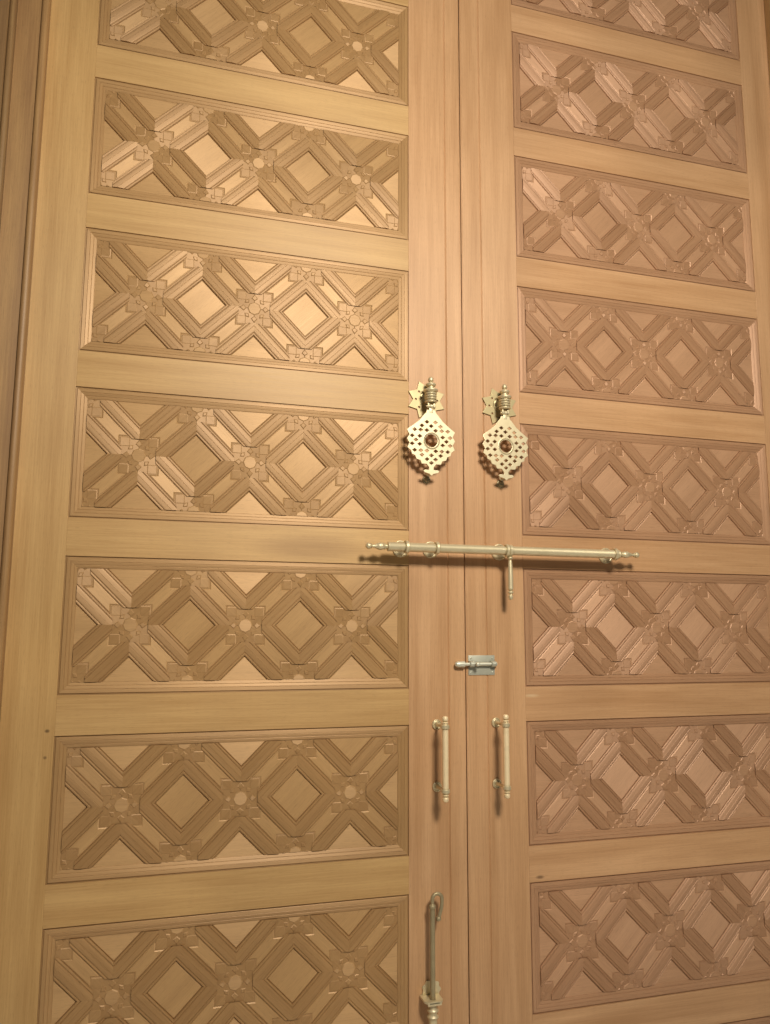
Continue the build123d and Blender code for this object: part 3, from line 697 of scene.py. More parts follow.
# Across the border in millimetres, from the panel's edge to the carving, as (place, depth)
BORDER = [(0.0, 1.3), (0.9, 0.5), (7.2, 0.5), (7.9, 1.4), (8.6, 0.8), (10.0, 1.1), (14.0, 2.6),
          (14.7, 3.6), (15.6, 3.1), (20.0, 4.6), (21.4, 5.4), (22.0, 6.4)]
TONGUE = 0.010
PANEL_GAP = 0.003
TONGUE_DEPTH = 0.020


def bordered_board(relief, half_width, half_height, back, sizes):
    """The board with its moulded border, sunk ground, edges, tongues and flat back."""
    run = sizes.border_width / (BORDER[-1][0] * MM)
    reach, edge = TONGUE + PANEL_GAP, PANEL_GAP - 0.0003
    loops = [(reach, back), (reach, TONGUE_DEPTH), (edge, TONGUE_DEPTH), (edge, sizes.gap_depth),
             (0.0, sizes.gap_depth)]
    loops += [(-MM * inset * run, MM * depth) for inset, depth in BORDER]
    loops.append((-sizes.border_width - 0.0003, sizes.floor_depth))
    rings = []
    for grow, depth in loops:
        w, h = half_width + grow, half_height + grow
        rings.append([relief.bm.verts.new((sx * w, depth, sz * h))
                      for sx, sz in ((-1, -1), (1, -1), (1, 1), (-1, 1))])
    relief.mark([relief.bm.faces.new(rings[0]), relief.bm.faces.new(rings[-1])], 0.0, 0.25)
    for low, high in zip(rings, rings[1:]):
        for side, face in enumerate(strip(relief.bm, low, high)):
            relief.mark([face], 0.0 if side % 2 == 0 else math.pi / 2, 0.4)


def grain_layers(relief):
    """Store, at each corner of each face, its place along and across the grain."""
    layer = relief.bm.loops.layers.float_vector.new("grain")
    for face in relief.bm.faces:
        turn = face[relief.turn]
        cos, sin = math.cos(turn), math.sin(turn)
        step = 0.9 * face[relief.tone]
        for loop in face.loops:
            x, y, z = loop.vert.co
            loop[layer] = Vector((x * cos + z * sin + step, z * cos - x * sin + step, y))


class DOOR_OT_carved_panels(bpy.types.Operator):
    """Carve the lattice of straps, plaques and stars on every panel"""

    bl_idname = "temple_door.carved_panels"
    bl_label = "Carved panels"

    def execute(self, context):
        sizes = context.scene.door_carving
        low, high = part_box("left_panel_1")
        half_width = (high.x - low.x) / 2 - TONGUE - PANEL_GAP
        half_height = (high.z - low.z) / 2 - TONGUE - PANEL_GAP
        field = half_width - sizes.border_width, half_height - sizes.border_width
        relief = carved_field(2 * field[0] / sizes.spacings, *field, sizes)
        bordered_board(relief, half_width, half_height, high.y, sizes)
        bmesh.ops.recalc_face_normals(relief.bm, faces=relief.bm.faces)
        grain_layers(relief)
        pattern = mesh_from(relief.bm, "carved_panel", material("carved"))
        draw = random.Random(21)
        for side in SIDES:
            for row in range(ROWS):
                node = f"{side}_panel_{row + 1}"
                mesh = pattern.copy()
                centre = middle(node)
                mesh.transform(Matrix.Translation((centre.x, 0.0, centre.z)))
                shift = Vector((draw.uniform(0, 9), draw.uniform(0, 9), 0.0))
                for value in mesh.attributes["grain"].data:
                    value.vector = Vector(value.vector) + shift
                mesh.materials[0] = material("carved" if side == "left" else "right_carved")
                piece = linked(f"{side}_carved_panel_{row + 1}", mesh)
                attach(piece, f"{side}_leaf")
                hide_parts(node)
        return {"FINISHED"}


# Stiles, rails and frame


LEAF_EDGE = 0.0007
FRAME_EDGE = 0.0008
HINGE_EDGE = 0.0003


def dress(node, key, edge):
    """Give a CAD node its finish, weld its facets and ease its sharp edges."""
    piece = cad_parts[node]
    piece.data.materials.clear()
    piece.data.materials.append(material(key))
    weld = piece.modifiers.new("weld", "WELD")
    weld.merge_threshold = 1e-5
    ease = piece.modifiers.new("ease", "BEVEL")
    ease.width = edge
    ease.segments = 2
    ease.limit_method = "ANGLE"
    ease.angle_limit = math.radians(35.0)


class DOOR_OT_leaves(bpy.types.Operator):
    """Ease the edges of the stiles and rails and varnish their wood"""

    bl_idname = "temple_door.leaves"
    bl_label = "Stiles and rails"

    def execute(self, context):
        for side in SIDES:
            dress(f"{side}_hinge_stile", "left_stile" if side == "left" else "stile", LEAF_EDGE)
            dress(f"{side}_meeting_stile", "stile", LEAF_EDGE)
            for part in ("top_rail", "bottom_rail", "mid_rails"):
                dress(f"{side}_{part}", f"{side}_rail", LEAF_EDGE)
            self.seam_lip(side)
        return {"FINISHED"}

    def seam_lip(self, side):
        """A thin rounded lip down the meeting edge, which narrows the seam."""
        low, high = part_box(f"{side}_meeting_stile")
        edge = high.x if side == "left" else low.x
        inner, outer = sorted((edge + 0.0015 * SIDES[side], edge - 0.0009 * SIDES[side]))
        bm = bmesh.new()
        add_block(bm, (inner, 0.0008, low.z), (outer, high.y - 0.001, high.z), 0.0008)
        finish_piece(bm, f"{side}_seam_lip", "stile", f"{side}_leaf", smooth=40)


class DOOR_OT_frame(bpy.types.Operator):
    """Varnish the posts, head, casing and threshold"""

    bl_idname = "temple_door.frame"
    bl_label = "Frame"

    def execute(self, context):
        for side in SIDES:
            dress(f"{side}_jamb", "post", FRAME_EDGE)
            dress(f"{side}_casing", "casing", FRAME_EDGE)
        for node in ("frame_head", "head_casing", "threshold"):
            dress(node, "lintel", FRAME_EDGE)
        return {"FINISHED"}


class DOOR_OT_hinges(bpy.types.Operator):
    """Finish the hinges at the back and the foot bolt's socket in dull brass"""

    bl_idname = "temple_door.hinges"
    bl_label = "Hinges"

    def execute(self, context):
        for node in ("hinge_frame_plates", "hinge_pins", "left_hinge_plates", "right_hinge_plates",
                     "foot_bolt_socket"):
            dress(node, "hinge", HINGE_EDGE)
        return {"FINISHED"}


# Bar bolt


# Shares of the rod's radius and of the finial's length from its root, and the bulge before each
FINIAL = [(1.0, 0.0), (0.97, 0.03, 0.2), (0.56, 0.07), (0.50, 0.13, -0.05), (0.67, 0.16, 0.3),
          (0.67, 0.19, 0.3), (0.60, 0.21), (0.79, 0.34, 0.1), (0.70, 0.46, 0.08), (0.46, 0.57, -0.04),
          (0.33, 0.64), (0.34, 0.73, -0.04), (0.52, 0.76, 0.25), (0.42, 0.785), (0.66, 0.87, 0.2),
          (0.50, 0.96, 0.15), (0.12, 1.0, 0.15)]


LEFT_FINIAL = 53.0
RIGHT_FINIAL = 58.0
EYE_PLAY = 0.07


def finial(radius, length):
    """A turned end from its root: a collar, a neck, a bulb, a thin neck and a ball."""
    return curved([(radius * knot[0], length * knot[1], *knot[2:]) for knot in FINIAL])


def add_post(bm, x, z, foot, stem, length):
    """A rosette on the door, with a rim, a hollow and a domed middle, and a stem with a waist."""
    place = at(x, 0.0, z, "near")
    add_turned(bm, [(foot, 0.0), (foot, 2.2), (0.91 * foot, 4.2, 0.25), (0.76 * foot, 2.4, -0.1),
                    (0.60 * foot, 2.9, 0.05), (0.44 * foot, 4.6, -0.06), (0.34 * foot, 7.4, 0.1),
                    (0.15 * foot, 7.9, 0.05)], place)
    add_turned(bm, [(1.3 * stem, 3.0), (0.92 * stem, 0.5 * length, -0.05),
                    (1.1 * stem, length, -0.05)], place)


def add_eye(bm, place, bore, outer, width):
    """A rounded ring about the place's Z axis."""
    half = width / 2
    edge = outer - 1.2
    add_turned(bm, [(bore, -half + 0.4), (bore + 0.4, -half), (edge, -half), (outer, -half + 1.4),
                    (outer, half - 1.4), (edge, half), (bore + 0.4, half), (bore, half - 0.4)],
               place, hollow=True)


class DOOR_OT_bar_bolt(bpy.types.Operator):
    """Turn the long bar bolt, its eyes and the drop handle"""

    bl_idname = "temple_door.bar_bolt"
    bl_label = "Bar bolt"

    def execute(self, context):
        low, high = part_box("bar_bolt_rod")
        axis_y, axis_z = (low.y + high.y) / 2, (low.z + high.z) / 2
        rod = (high.z - low.z) / 2 / MM
        length = (high.x - low.x) / MM
        shaft = [(r, LEFT_FINIAL - h) for r, h in reversed(finial(rod, LEFT_FINIAL))]
        shaft += [(r, length - RIGHT_FINIAL + h) for r, h in finial(rod, RIGHT_FINIAL)]
        bm = bmesh.new()
        add_turned(bm, shaft, at(low.x, axis_y, axis_z, "X"))
        finish_piece(bm, "bar_bolt_shaft", "brass", "bar_bolt", "bar_bolt_rod")
        for kind, body in (("keepers", "left_leaf"), ("guides", "right_leaf")):
            low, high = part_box(f"bar_bolt_{kind}")
            reach = (high.z - low.z) / 2
            bm = bmesh.new()
            for x in (low.x + reach, high.x - reach):
                add_post(bm, x, axis_z, reach / MM, 3.6, -axis_y / MM - 12.8)
                add_eye(bm, at(x, axis_y, axis_z, "X"), rod + EYE_PLAY, 15.0, 8.0)
            finish_piece(bm, f"bar_bolt_eye_{kind}", "brass", body, f"bar_bolt_{kind}")
        self.drop_handle(axis_y, axis_z, rod)
        return {"FINISHED"}

    def drop_handle(self, axis_y, axis_z, rod):
        """The handle that hangs from a collar round the bar."""
        low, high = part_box("bar_bolt_handle")
        x = (low.x + high.x) / 2
        drop = (axis_z - low.z) / MM
        bm = bmesh.new()
        add_turned(bm, [(3.8, 11.5), (3.8, 14.2), (6.2, 16.0, 0.25), (6.2, 18.6, 0.3), (3.7, 20.6, 0.2),
                        (3.6, 22.4), (4.7, 25.0, 0.1), (6.4, drop - 27.0, 0.01), (6.5, drop - 25.0),
                        (3.6, drop - 22.0, 0.1), (3.5, drop - 20.2), (6.3, drop - 18.6, 0.25),
                        (6.3, drop - 15.6, 0.3), (3.2, drop - 13.2), (3.6, drop - 11.0, -0.05),
                        (5.2, drop - 6.0, 0.2), (1.2, drop, 0.22)], at(x, axis_y, axis_z, "down"))
        add_eye(bm, at(x, axis_y, axis_z, "X"), rod + EYE_PLAY, 14.0, 9.0)
        finish_piece(bm, "bar_bolt_drop_handle", "brass", "bar_handle", "bar_bolt_handle")


# Knockers


# Right half of the toothed outline about the knocker's hole, in millimetres, from the tail up
HALF_PLATE = [(5, -79), (17, -76), (20, -72), (16, -69), (6, -69), (6, -63), (12, -56), (24, -56),
              (27, -48), (37, -45), (40, -37), (48, -34), (50, -26), (59, -19), (54, -8), (60, 2),
              (54, 12), (60, 24), (45, 35), (29, 48), (17, 63), (12, 68), (11, 74)]
PLATE_TAIL = 84.0
# Openings: the distance of each row from the hole's middle, and of its openings from the middle line
OPENING_ROWS = {0.0: (38.0,), 9.5: (28.5, 47.0), 24.5: (11.0, 26.0, 41.0), 35.0: (0.0, 23.0),
                44.5: (10.5,)}
TAIL_OPENING = -53.0
LUG = 6.0
RING = 16.0
# Metres
PLATE_NEAR, PLATE_FAR = -0.0358, -0.0324
HAMMER_DROP = 0.074
PIN_Y = -0.034
STAR_RISE = 0.024
PLATE_SMOOTH = 30

# Turned profiles, as (radius, place along the axis, bulge before it) in millimetres
RING_RIM = [(RING - 0.2, 0.0), (RING - 0.2, 2.0), (RING + 2.4, 3.4, 0.15), (RING + 5.0, 1.8, 0.15),
            (RING + 5.0, 0.0)]
HAMMER = [(4.0, -8.4), (6.0, -9.4, 0.2), (6.0, -12.0), (4.2, -14.0, 0.2), (3.6, -24.0, 0.04),
          (4.4, -34.0, -0.03)]
BOSS = [(17.0, 2.5), (16.0, 5.0, 0.1), (9.0, 8.0, -0.1), (7.6, 16.0, -0.03), (7.6, 33.0)]
NECK = [(9.5, 8.5), (13.6, 9.6, 0.2), (14.0, 12.0, 0.25), (10.4, 14.3, 0.1), (10.2, 15.6),
        (13.2, 17.4, 0.25), (13.2, 19.6, 0.2), (11.0, 21.4), (13.6, 23.2, 0.25), (13.6, 25.6, 0.2),
        (11.4, 27.4), (14.0, 29.3, 0.25), (14.0, 31.7, 0.2), (12.0, 33.4), (15.8, 36.2, 0.15),
        (17.0, 38.2, 0.2), (16.4, 40.4, 0.2), (9.0, 43.0, -0.1), (8.0, 48.0), (12.0, 51.0, 0.2),
        (12.0, 54.5, 0.25), (6.0, 57.8, -0.1), (4.0, 60.4), (6.3, 64.5, 0.25), (5.4, 68.6, 0.2),
        (1.6, 71.5, 0.2)]
FORK_EYE = [(5.0, -2.0), (5.0, 2.0)]
PIN = [(1.2, -11.6), (2.5, -10.4, 0.2), (2.5, 10.4), (1.2, 11.6, 0.2)]
STUD = [(10.0, 0.0), (10.0, 1.6), (8.4, 3.2, 0.2), (6.6, 3.8, -0.1), (6.2, 6.6), (4.6, 8.0, 0.2)]


def piercings():
    """Rows of small lozenges above and below the hole, and one in the tail."""
    middles = {(0.0, TAIL_OPENING)}
    for height, places in OPENING_ROWS.items():
        middles |= {(sx * x, sz * height) for x in places for sx in (-1, 1) for sz in (-1, 1)}
    lozenge = [(-5.6, 0.0), (0.0, -4.4), (5.6, 0.0), (0.0, 4.4)]
    return [shifted(lozenge, x, z) for x, z in sorted(middles)]


def add_pierced_plate(bm, x, z, outline, holes, near, far, soften):
    """Add a plate with holes: outlines in millimetres about a point, between two depths."""
    curve = bpy.data.curves.new("plate_outline", "CURVE")
    curve.dimensions = "2D"
    curve.fill_mode = "BOTH"
    curve.extrude = (far - near) / 2 - soften
    curve.bevel_depth = soften
    curve.bevel_resolution = 1
    curve.offset = -soften
    for points in [outline] + holes:
        spline = curve.splines.new("POLY")
        spline.points.add(len(points) - 1)
        for item, (px, pz) in zip(spline.points, points):
            item.co = (MM * px, MM * pz, 0.0, 1.0)
        spline.use_cyclic_u = True
    holder = linked("plate_outline", curve)
    mesh = bpy.data.meshes.new_from_object(holder.evaluated_get(bpy.context.evaluated_depsgraph_get()))
    mesh.transform(at(x, (near + far) / 2, z, "near"))
    bm.from_mesh(mesh)
    bpy.data.meshes.remove(mesh)
    bpy.data.objects.remove(holder)
    bpy.data.curves.remove(curve)


def circle(radius, sides=28):
    return [(radius * math.cos(2 * math.pi * k / sides), radius * math.sin(2 * math.pi * k / sides))
            for k in range(sides)]


def star_outline(reach, notch):
    """An eight-pointed star with two of its points level at each side."""
    points = []
    for k in range(16):
        radius, angle = reach if k % 2 == 0 else notch, math.radians(22.5 * (k + 1))
        points.append((radius * math.cos(angle), radius * math.sin(angle)))
    return points


class DOOR_OT_knockers(bpy.types.Operator):
    """Pierce the knocker plates and make their star plates, ringed necks and studs"""

    bl_idname = "temple_door.knockers"
    bl_label = "Knockers"

    def execute(self, context):
        for side in SIDES:
            low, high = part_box(f"{side}_knocker_plate")
            pivot_z = high.z - MM * LUG
            self.plate(side, (low.x + high.x) / 2, low.z + MM * PLATE_TAIL, pivot_z)
            self.hanger(side, pivot_z)
            self.stud(side)
        return {"FINISHED"}

    def plate(self, side, x, z, pivot_z):
        """The hanging plate with its lug and hammer."""
        outline = [(0, -PLATE_TAIL)] + HALF_PLATE + [(-px, pz) for px, pz in reversed(HALF_PLATE)]
        bm = bmesh.new()
        add_pierced_plate(bm, x, z, outline, [circle(RING)] + piercings(), PLATE_NEAR, PLATE_FAR,
                          0.0008)
        add_turned(bm, RING_RIM, at(x, PLATE_NEAR + 0.0014, z, "near"), hollow=True)
        add_block(bm, (x - 0.0045, PLATE_NEAR - 0.0005, pivot_z - 0.016),
                  (x + 0.0045, PLATE_FAR + 0.0005, pivot_z - 0.002), 0.0006)
        add_eye(bm, at(x, (PLATE_NEAR + PLATE_FAR) / 2, pivot_z, "X"), 2.55, LUG, 9.0)
        add_turned(bm, [(r, -h) for r, h in curved(HAMMER)], at(x, 0.0, z - HAMMER_DROP, "near"))
        finish_piece(bm, f"{side}_pierced_plate", "brass", f"{side}_knocker", f"{side}_knocker_plate",
                     smooth=PLATE_SMOOTH)

    def hanger(self, side, pivot_z):
        """The star plate on the door and the ringed neck with the fork for the pin."""
        node = f"{side}_knocker_hanger"
        low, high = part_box(node)
        x = (low.x + high.x) / 2
        star_z = pivot_z + STAR_RISE
        bm = bmesh.new()
        holes = [shifted(circle(2.6, 12), 27 * math.cos(a), 27 * math.sin(a))
                 for a in (math.radians(45.0 * k) for k in range(8))]
        add_pierced_plate(bm, x, star_z, star_outline(49.0, 34.0), holes, -0.0038, 0.0, 0.0006)
        add_turned(bm, BOSS, at(x, 0.0, star_z + 0.0045, "near"))
        add_turned(bm, NECK, at(x, PIN_Y, pivot_z))
        for way in (-1, 1):
            inner, outer = sorted((x + way * 0.0049, x + way * 0.0089))
            add_block(bm, (inner, PIN_Y - 0.005, pivot_z), (outer, PIN_Y + 0.005, pivot_z + 0.0105),
                      0.0006)
            add_turned(bm, FORK_EYE, at((inner + outer) / 2, PIN_Y, pivot_z, "X"))
        add_turned(bm, PIN, at(x, PIN_Y, pivot_z, "X"))
        finish_piece(bm, f"{side}_star_plate_and_neck", "hanger", f"{side}_leaf", node,
                     smooth=PLATE_SMOOTH)

    def stud(self, side):
        """The stud that the hammer strikes."""
        node = f"{side}_knocker_stud"
        low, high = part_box(node)
        bm = bmesh.new()
        add_turned(bm, STUD, at((low.x + high.x) / 2, 0.0, (low.z + high.z) / 2, "near"))
        # The stud takes the darker worn steel finish, partly for its own colour and partly as painted
        # shade under the knocker's tail.
        finish_piece(bm, f"{side}_strike_stud", "worn", f"{side}_leaf", node, smooth=PLATE_SMOOTH)


# Pull handles


class DOOR_OT_pulls(bpy.types.Operator):
    """Turn the two pull handles and their posts"""

    bl_idname = "temple_door.pulls"
    bl_label = "Pull handles"

    def execute(self, context):
        for side in SIDES:
            low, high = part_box(f"{side}_pull_bar")
            x, y = (low.x + high.x) / 2, (low.y + high.y) / 2
            end = curved([(1.2, 0.0), (6.7, 6.2, 0.25), (4.2, 11.6, 0.2), (3.8, 12.6), (6.6, 13.6, 0.2),
                          (6.6, 15.8, 0.3), (5.2, 16.9), (6.6, 18.4, 0.1), (6.9, 26.0)])
            length = (high.z - low.z) / MM
            bm = bmesh.new()
            add_turned(bm, end + [(7.0, length / 2)] + [(r, length - h) for r, h in reversed(end)],
                       at(x, y, low.z))
            finish_piece(bm, f"{side}_turned_pull", "pull", f"{side}_leaf", f"{side}_pull_bar")
            low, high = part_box(f"{side}_pull_posts")
            radius = (high.x - low.x) / 2
            bm = bmesh.new()
            for z in (low.z + radius, high.z - radius):
                add_post(bm, x, z, radius / MM, 4.3, -y / MM - 8.4)
                add_eye(bm, at(x, y, z), 7.05, 9.5, 9.0)
            finish_piece(bm, f"{side}_turned_posts", "brass", f"{side}_leaf", f"{side}_pull_posts")
        return {"FINISHED"}


# Small bolt


BOLT_Y = -0.009
BOLT_RADIUS = 4.0
PLATE_THICKNESS = 0.002
BRIDGE_WIDTH = 0.012
SCREW_MARGIN = 0.006
KNOB_MARGIN = 0.015
KNOB = [(2.5, 0.0), (2.2, 8.0, -0.05), (4.4, 11.0, 0.1), (4.6, 13.4, 0.2), (2.0, 17.0, 0.2)]
SCREW = [(2.6, 0.0), (2.08, 0.7, 0.1), (0.4, 0.9)]


class DOOR_OT_small_bolt(bpy.types.Operator):
    """Make the small barrel bolt with its plate, bridges, keeper and rod"""

    bl_idname = "temple_door.small_bolt"
    bl_label = "Small bolt"

    def execute(self, context):
        low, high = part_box("small_bolt_rod")
        plate_low, plate_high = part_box("small_bolt_plate")
        z = (low.z + high.z) / 2
        length = (high.x - low.x) / MM
        tip = BOLT_RADIUS - 0.4
        bm = bmesh.new()
        add_turned(bm, [(1.5, 0.0), (tip, 1.0, 0.2), (BOLT_RADIUS, 2.4, 0.1),
                        (BOLT_RADIUS, length - 2.4), (tip, length - 1.0, 0.1), (1.5, length, 0.2)],
                   at(low.x, BOLT_Y, z, "X"))
        add_turned(bm, KNOB, at(plate_low.x + KNOB_MARGIN, BOLT_Y, z, "near"))
        finish_piece(bm, "small_bolt_shaft", "nickel", "small_bolt", "small_bolt_rod")
        self.plate(plate_low, plate_high, z)
        self.keeper(z)
        return {"FINISHED"}

    def bridge(self, bm, x, z):
        """A folded bridge over the rod, with rounded shoulders, from a place towards the right."""
        add_eye(bm, at(x + BRIDGE_WIDTH / 2, BOLT_Y, z, "X"), 4.3, 7.0, BRIDGE_WIDTH / MM)
        for way in (-1, 1):
            low_z, high_z = sorted((z + way * 0.0044, z + way * 0.0070))
            add_block(bm, (x, BOLT_Y, low_z), (x + BRIDGE_WIDTH, -0.0015, high_z), 0.0004)

    def plate(self, low, high, z):
        """The plate on the right leaf with its bridges and screws."""
        bm = bmesh.new()
        add_block(bm, (low.x, -PLATE_THICKNESS, low.z), (high.x, 0.0, high.z), 0.0006)
        self.bridge(bm, low.x, z)
        self.bridge(bm, high.x - BRIDGE_WIDTH, z)
        for x in (low.x + SCREW_MARGIN, high.x - SCREW_MARGIN):
            for edge in (low.z + SCREW_MARGIN, high.z - SCREW_MARGIN):
                add_turned(bm, SCREW, at(x, -PLATE_THICKNESS, edge, "near"))
        finish_piece(bm, "small_bolt_backplate", "dull_nickel", "right_leaf", "small_bolt_plate")

    def keeper(self, z):
        """The closed cap on the left leaf that the rod's tip enters."""
        low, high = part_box("small_bolt_keeper")
        wide = (high.x - low.x) / MM
        bm = bmesh.new()
        add_turned(bm, [(0.8, 0.0), (3.6, 0.8, 0.15), (6.4, 5.5, 0.12), (7.0, 10.0, 0.04),
                        (7.0, wide - 1.2), (6.4, wide - 0.4, 0.2), (4.35, wide - 0.4), (4.35, 2.0),
                        (0.8, 2.0)], at(low.x, BOLT_Y, z, "X"))
        add_block(bm, (low.x + 0.004, -0.0046, z - 0.0052), (high.x - 0.0005, 0.0, z + 0.0052), 0.0006)
        finish_piece(bm, "small_bolt_catch", "nickel", "left_leaf", "small_bolt_keeper")


# Foot bolt


# Millimetres, but for the height of the upper rosette and the drop from it to its shelf, in metres
CROOK, WIRE, TAIL_DROP = 11.0, 4.0, 40.0
ROD, BORE, BARREL = 5.5, 5.8, 9.0
SHELF_THICKNESS = 4.0
UPPER_ROSETTE = 0.742
SHELF_DROP = 0.012
SHELF_OUTLINE = [(-21.0, 0.0), (-21.0, 34.0), (-15.0, 42.0), (15.0, 42.0), (21.0, 34.0), (21.0, 0.0)]


def add_bent_rod(bm, points, radius, sides=20):
    """Sweep a round section along points."""
    rings = []
    for k, here in enumerate(points):
        before, after = points[max(k - 1, 0)], points[min(k + 1, len(points) - 1)]
        ahead = (after - before).normalized()
        side = Vector((0.0, 1.0, 0.0))
        up = ahead.cross(side).normalized()
        rings.append([bm.verts.new(here + MM * radius * (math.cos(t) * side + math.sin(t) * up))
                      for t in (2 * math.pi * i / sides for i in range(sides))])
    for low, high in zip(rings, rings[1:]):
        strip(bm, low, high)
    bm.faces.new(rings[0])
    bm.faces.new(rings[-1])


class DOOR_OT_foot_bolt(bpy.types.Operator):
    """Make the foot bolt's crook, rod, ringed barrel and guides"""

    bl_idname = "temple_door.foot_bolt"
    bl_label = "Foot bolt"

    def execute(self, context):
        low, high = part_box("foot_bolt_rod")
        barrel_low, barrel_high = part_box("foot_bolt_barrel")
        x, y = (barrel_low.x + barrel_high.x) / 2, (barrel_low.y + barrel_high.y) / 2
        start = high.z - MM * WIRE - MM * 2 * CROOK
        length = (start - low.z) / MM
        bm = bmesh.new()
        add_turned(bm, [(2.5, 0.0), (ROD, 3.0, 0.1), (ROD, length - 8.0), (7.4, length - 6.5, 0.2),
                        (7.4, length - 1.5), (4.6, length + 1.0, 0.1), (4.0, length + 2.0)],
                   at(x, y, low.z))
        bend = [Vector((x, y, start))]
        for k in range(13):
            turn = math.pi * k / 12
            bend.append(Vector((x + MM * CROOK * (1 - math.cos(turn)), y,
                                start + MM * CROOK * (1 + math.sin(turn)))))
        top = bend[-1]
        for share, back in ((0.25, 0.2), (0.5, 1.8), (0.75, 4.6), (1.0, 8.0)):
            bend.append(top - Vector((MM * back, 0.0, MM * TAIL_DROP * share)))
        add_bent_rod(bm, bend, WIRE)
        add_turned(bm, [(3.6, -4.0), (5.6, 0.0, 0.25), (1.0, 5.6, 0.25)], at(*bend[-1], "down"))
        finish_piece(bm, "foot_bolt_crook_rod", "worn", "foot_bolt", "foot_bolt_rod")
        self.barrel(x, y, barrel_low.z, barrel_high.z)
        self.guides(x, y)
        return {"FINISHED"}

    def barrel(self, x, y, low_z, high_z):
        """The sleeve with two rings near its top and one near its foot."""
        length = (high_z - low_z) / MM
        bm = bmesh.new()
        add_turned(bm, [(BORE, 0.0), (BARREL, 0.0), (10.8, 2.5, 0.2), (10.8, 5.5, 0.2), (BARREL, 8.0),
                        (BARREL, length - 34.0), (11.2, length - 32.0, 0.2), (11.2, length - 28.0, 0.3),
                        (BARREL, length - 26.0), (BARREL, length - 21.0), (11.2, length - 19.0, 0.2),
                        (11.2, length - 15.0, 0.3), (BARREL, length - 13.0),
                        (BARREL - 0.8, length - 6.0, -0.03), (BARREL, length), (BORE, length)],
                   at(x, y, low_z), hollow=True)
        finish_piece(bm, "foot_bolt_ringed_barrel", "brass", "left_leaf", "foot_bolt_barrel")

    def guides(self, x, y):
        """Two shelves that the barrel or the rod passes through, each below a scalloped rosette."""
        low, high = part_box("foot_bolt_guides")
        turns = [2 * math.pi * k / 90 for k in range(90)]
        petals = [(0.93 * (22.0 + 1.6 * math.cos(9 * t)) * math.cos(t),
                   0.93 * (22.0 + 1.6 * math.cos(9 * t)) * math.sin(t)) for t in turns]
        bm = bmesh.new()
        for z, hole in ((low.z + 0.022, BARREL + 0.05), (UPPER_ROSETTE, BORE)):
            add_pierced_plate(bm, x + 0.006, z, petals, [circle(3.0, 12)], -0.004, 0.0, 0.0008)
            self.shelf(bm, x, y, z - SHELF_DROP, hole)
        lip_z = UPPER_ROSETTE - SHELF_DROP
        add_block(bm, (x - 0.0155, -0.042, lip_z - 0.004), (x + 0.0155, -0.0395, lip_z + 0.002), 0.0005)
        finish_piece(bm, "foot_bolt_shelves", "brass", "left_leaf", "foot_bolt_guides",
                     smooth=PLATE_SMOOTH)

    def shelf(self, bm, x, y, bottom, hole):
        """A level plate out from the door with a round hole for the rod."""
        sides = 32
        place = -y / MM
        outer, inner = [], []
        for k in range(sides):
            t = 2 * math.pi * k / sides + math.pi / sides
            inner.append((hole * math.cos(t), place + hole * math.sin(t)))
            outer.append(self.edge_point(SHELF_OUTLINE, (0.0, place), (math.cos(t), math.sin(t))))
        loops = []
        for points, height in ((inner, 0.0), (outer, 0.0), (outer, SHELF_THICKNESS),
                               (inner, SHELF_THICKNESS)):
            loops.append([bm.verts.new((x + MM * px, -MM * py, bottom + MM * height))
                          for px, py in points])
        for first, second in zip(loops, loops[1:] + loops[:1]):
            strip(bm, first, second)

    def edge_point(self, plate, start, way):
        """Where a line from inside a closed outline leaves it."""
        best = 1e9
        for (x0, y0), (x1, y1) in zip(plate, plate[1:] + plate[:1]):
            edge = (x1 - x0, y1 - y0)
            cross = way[0] * edge[1] - way[1] * edge[0]
            if abs(cross) < 1e-9:
                continue
            reach = ((x0 - start[0]) * edge[1] - (y0 - start[1]) * edge[0]) / cross
            share = ((x0 - start[0]) * way[1] - (y0 - start[1]) * way[0]) / cross
            if reach > 0 and -1e-9 <= share <= 1 + 1e-9:
                best = min(best, reach)
        return start[0] + way[0] * best, start[1] + way[1] * best


# Stage


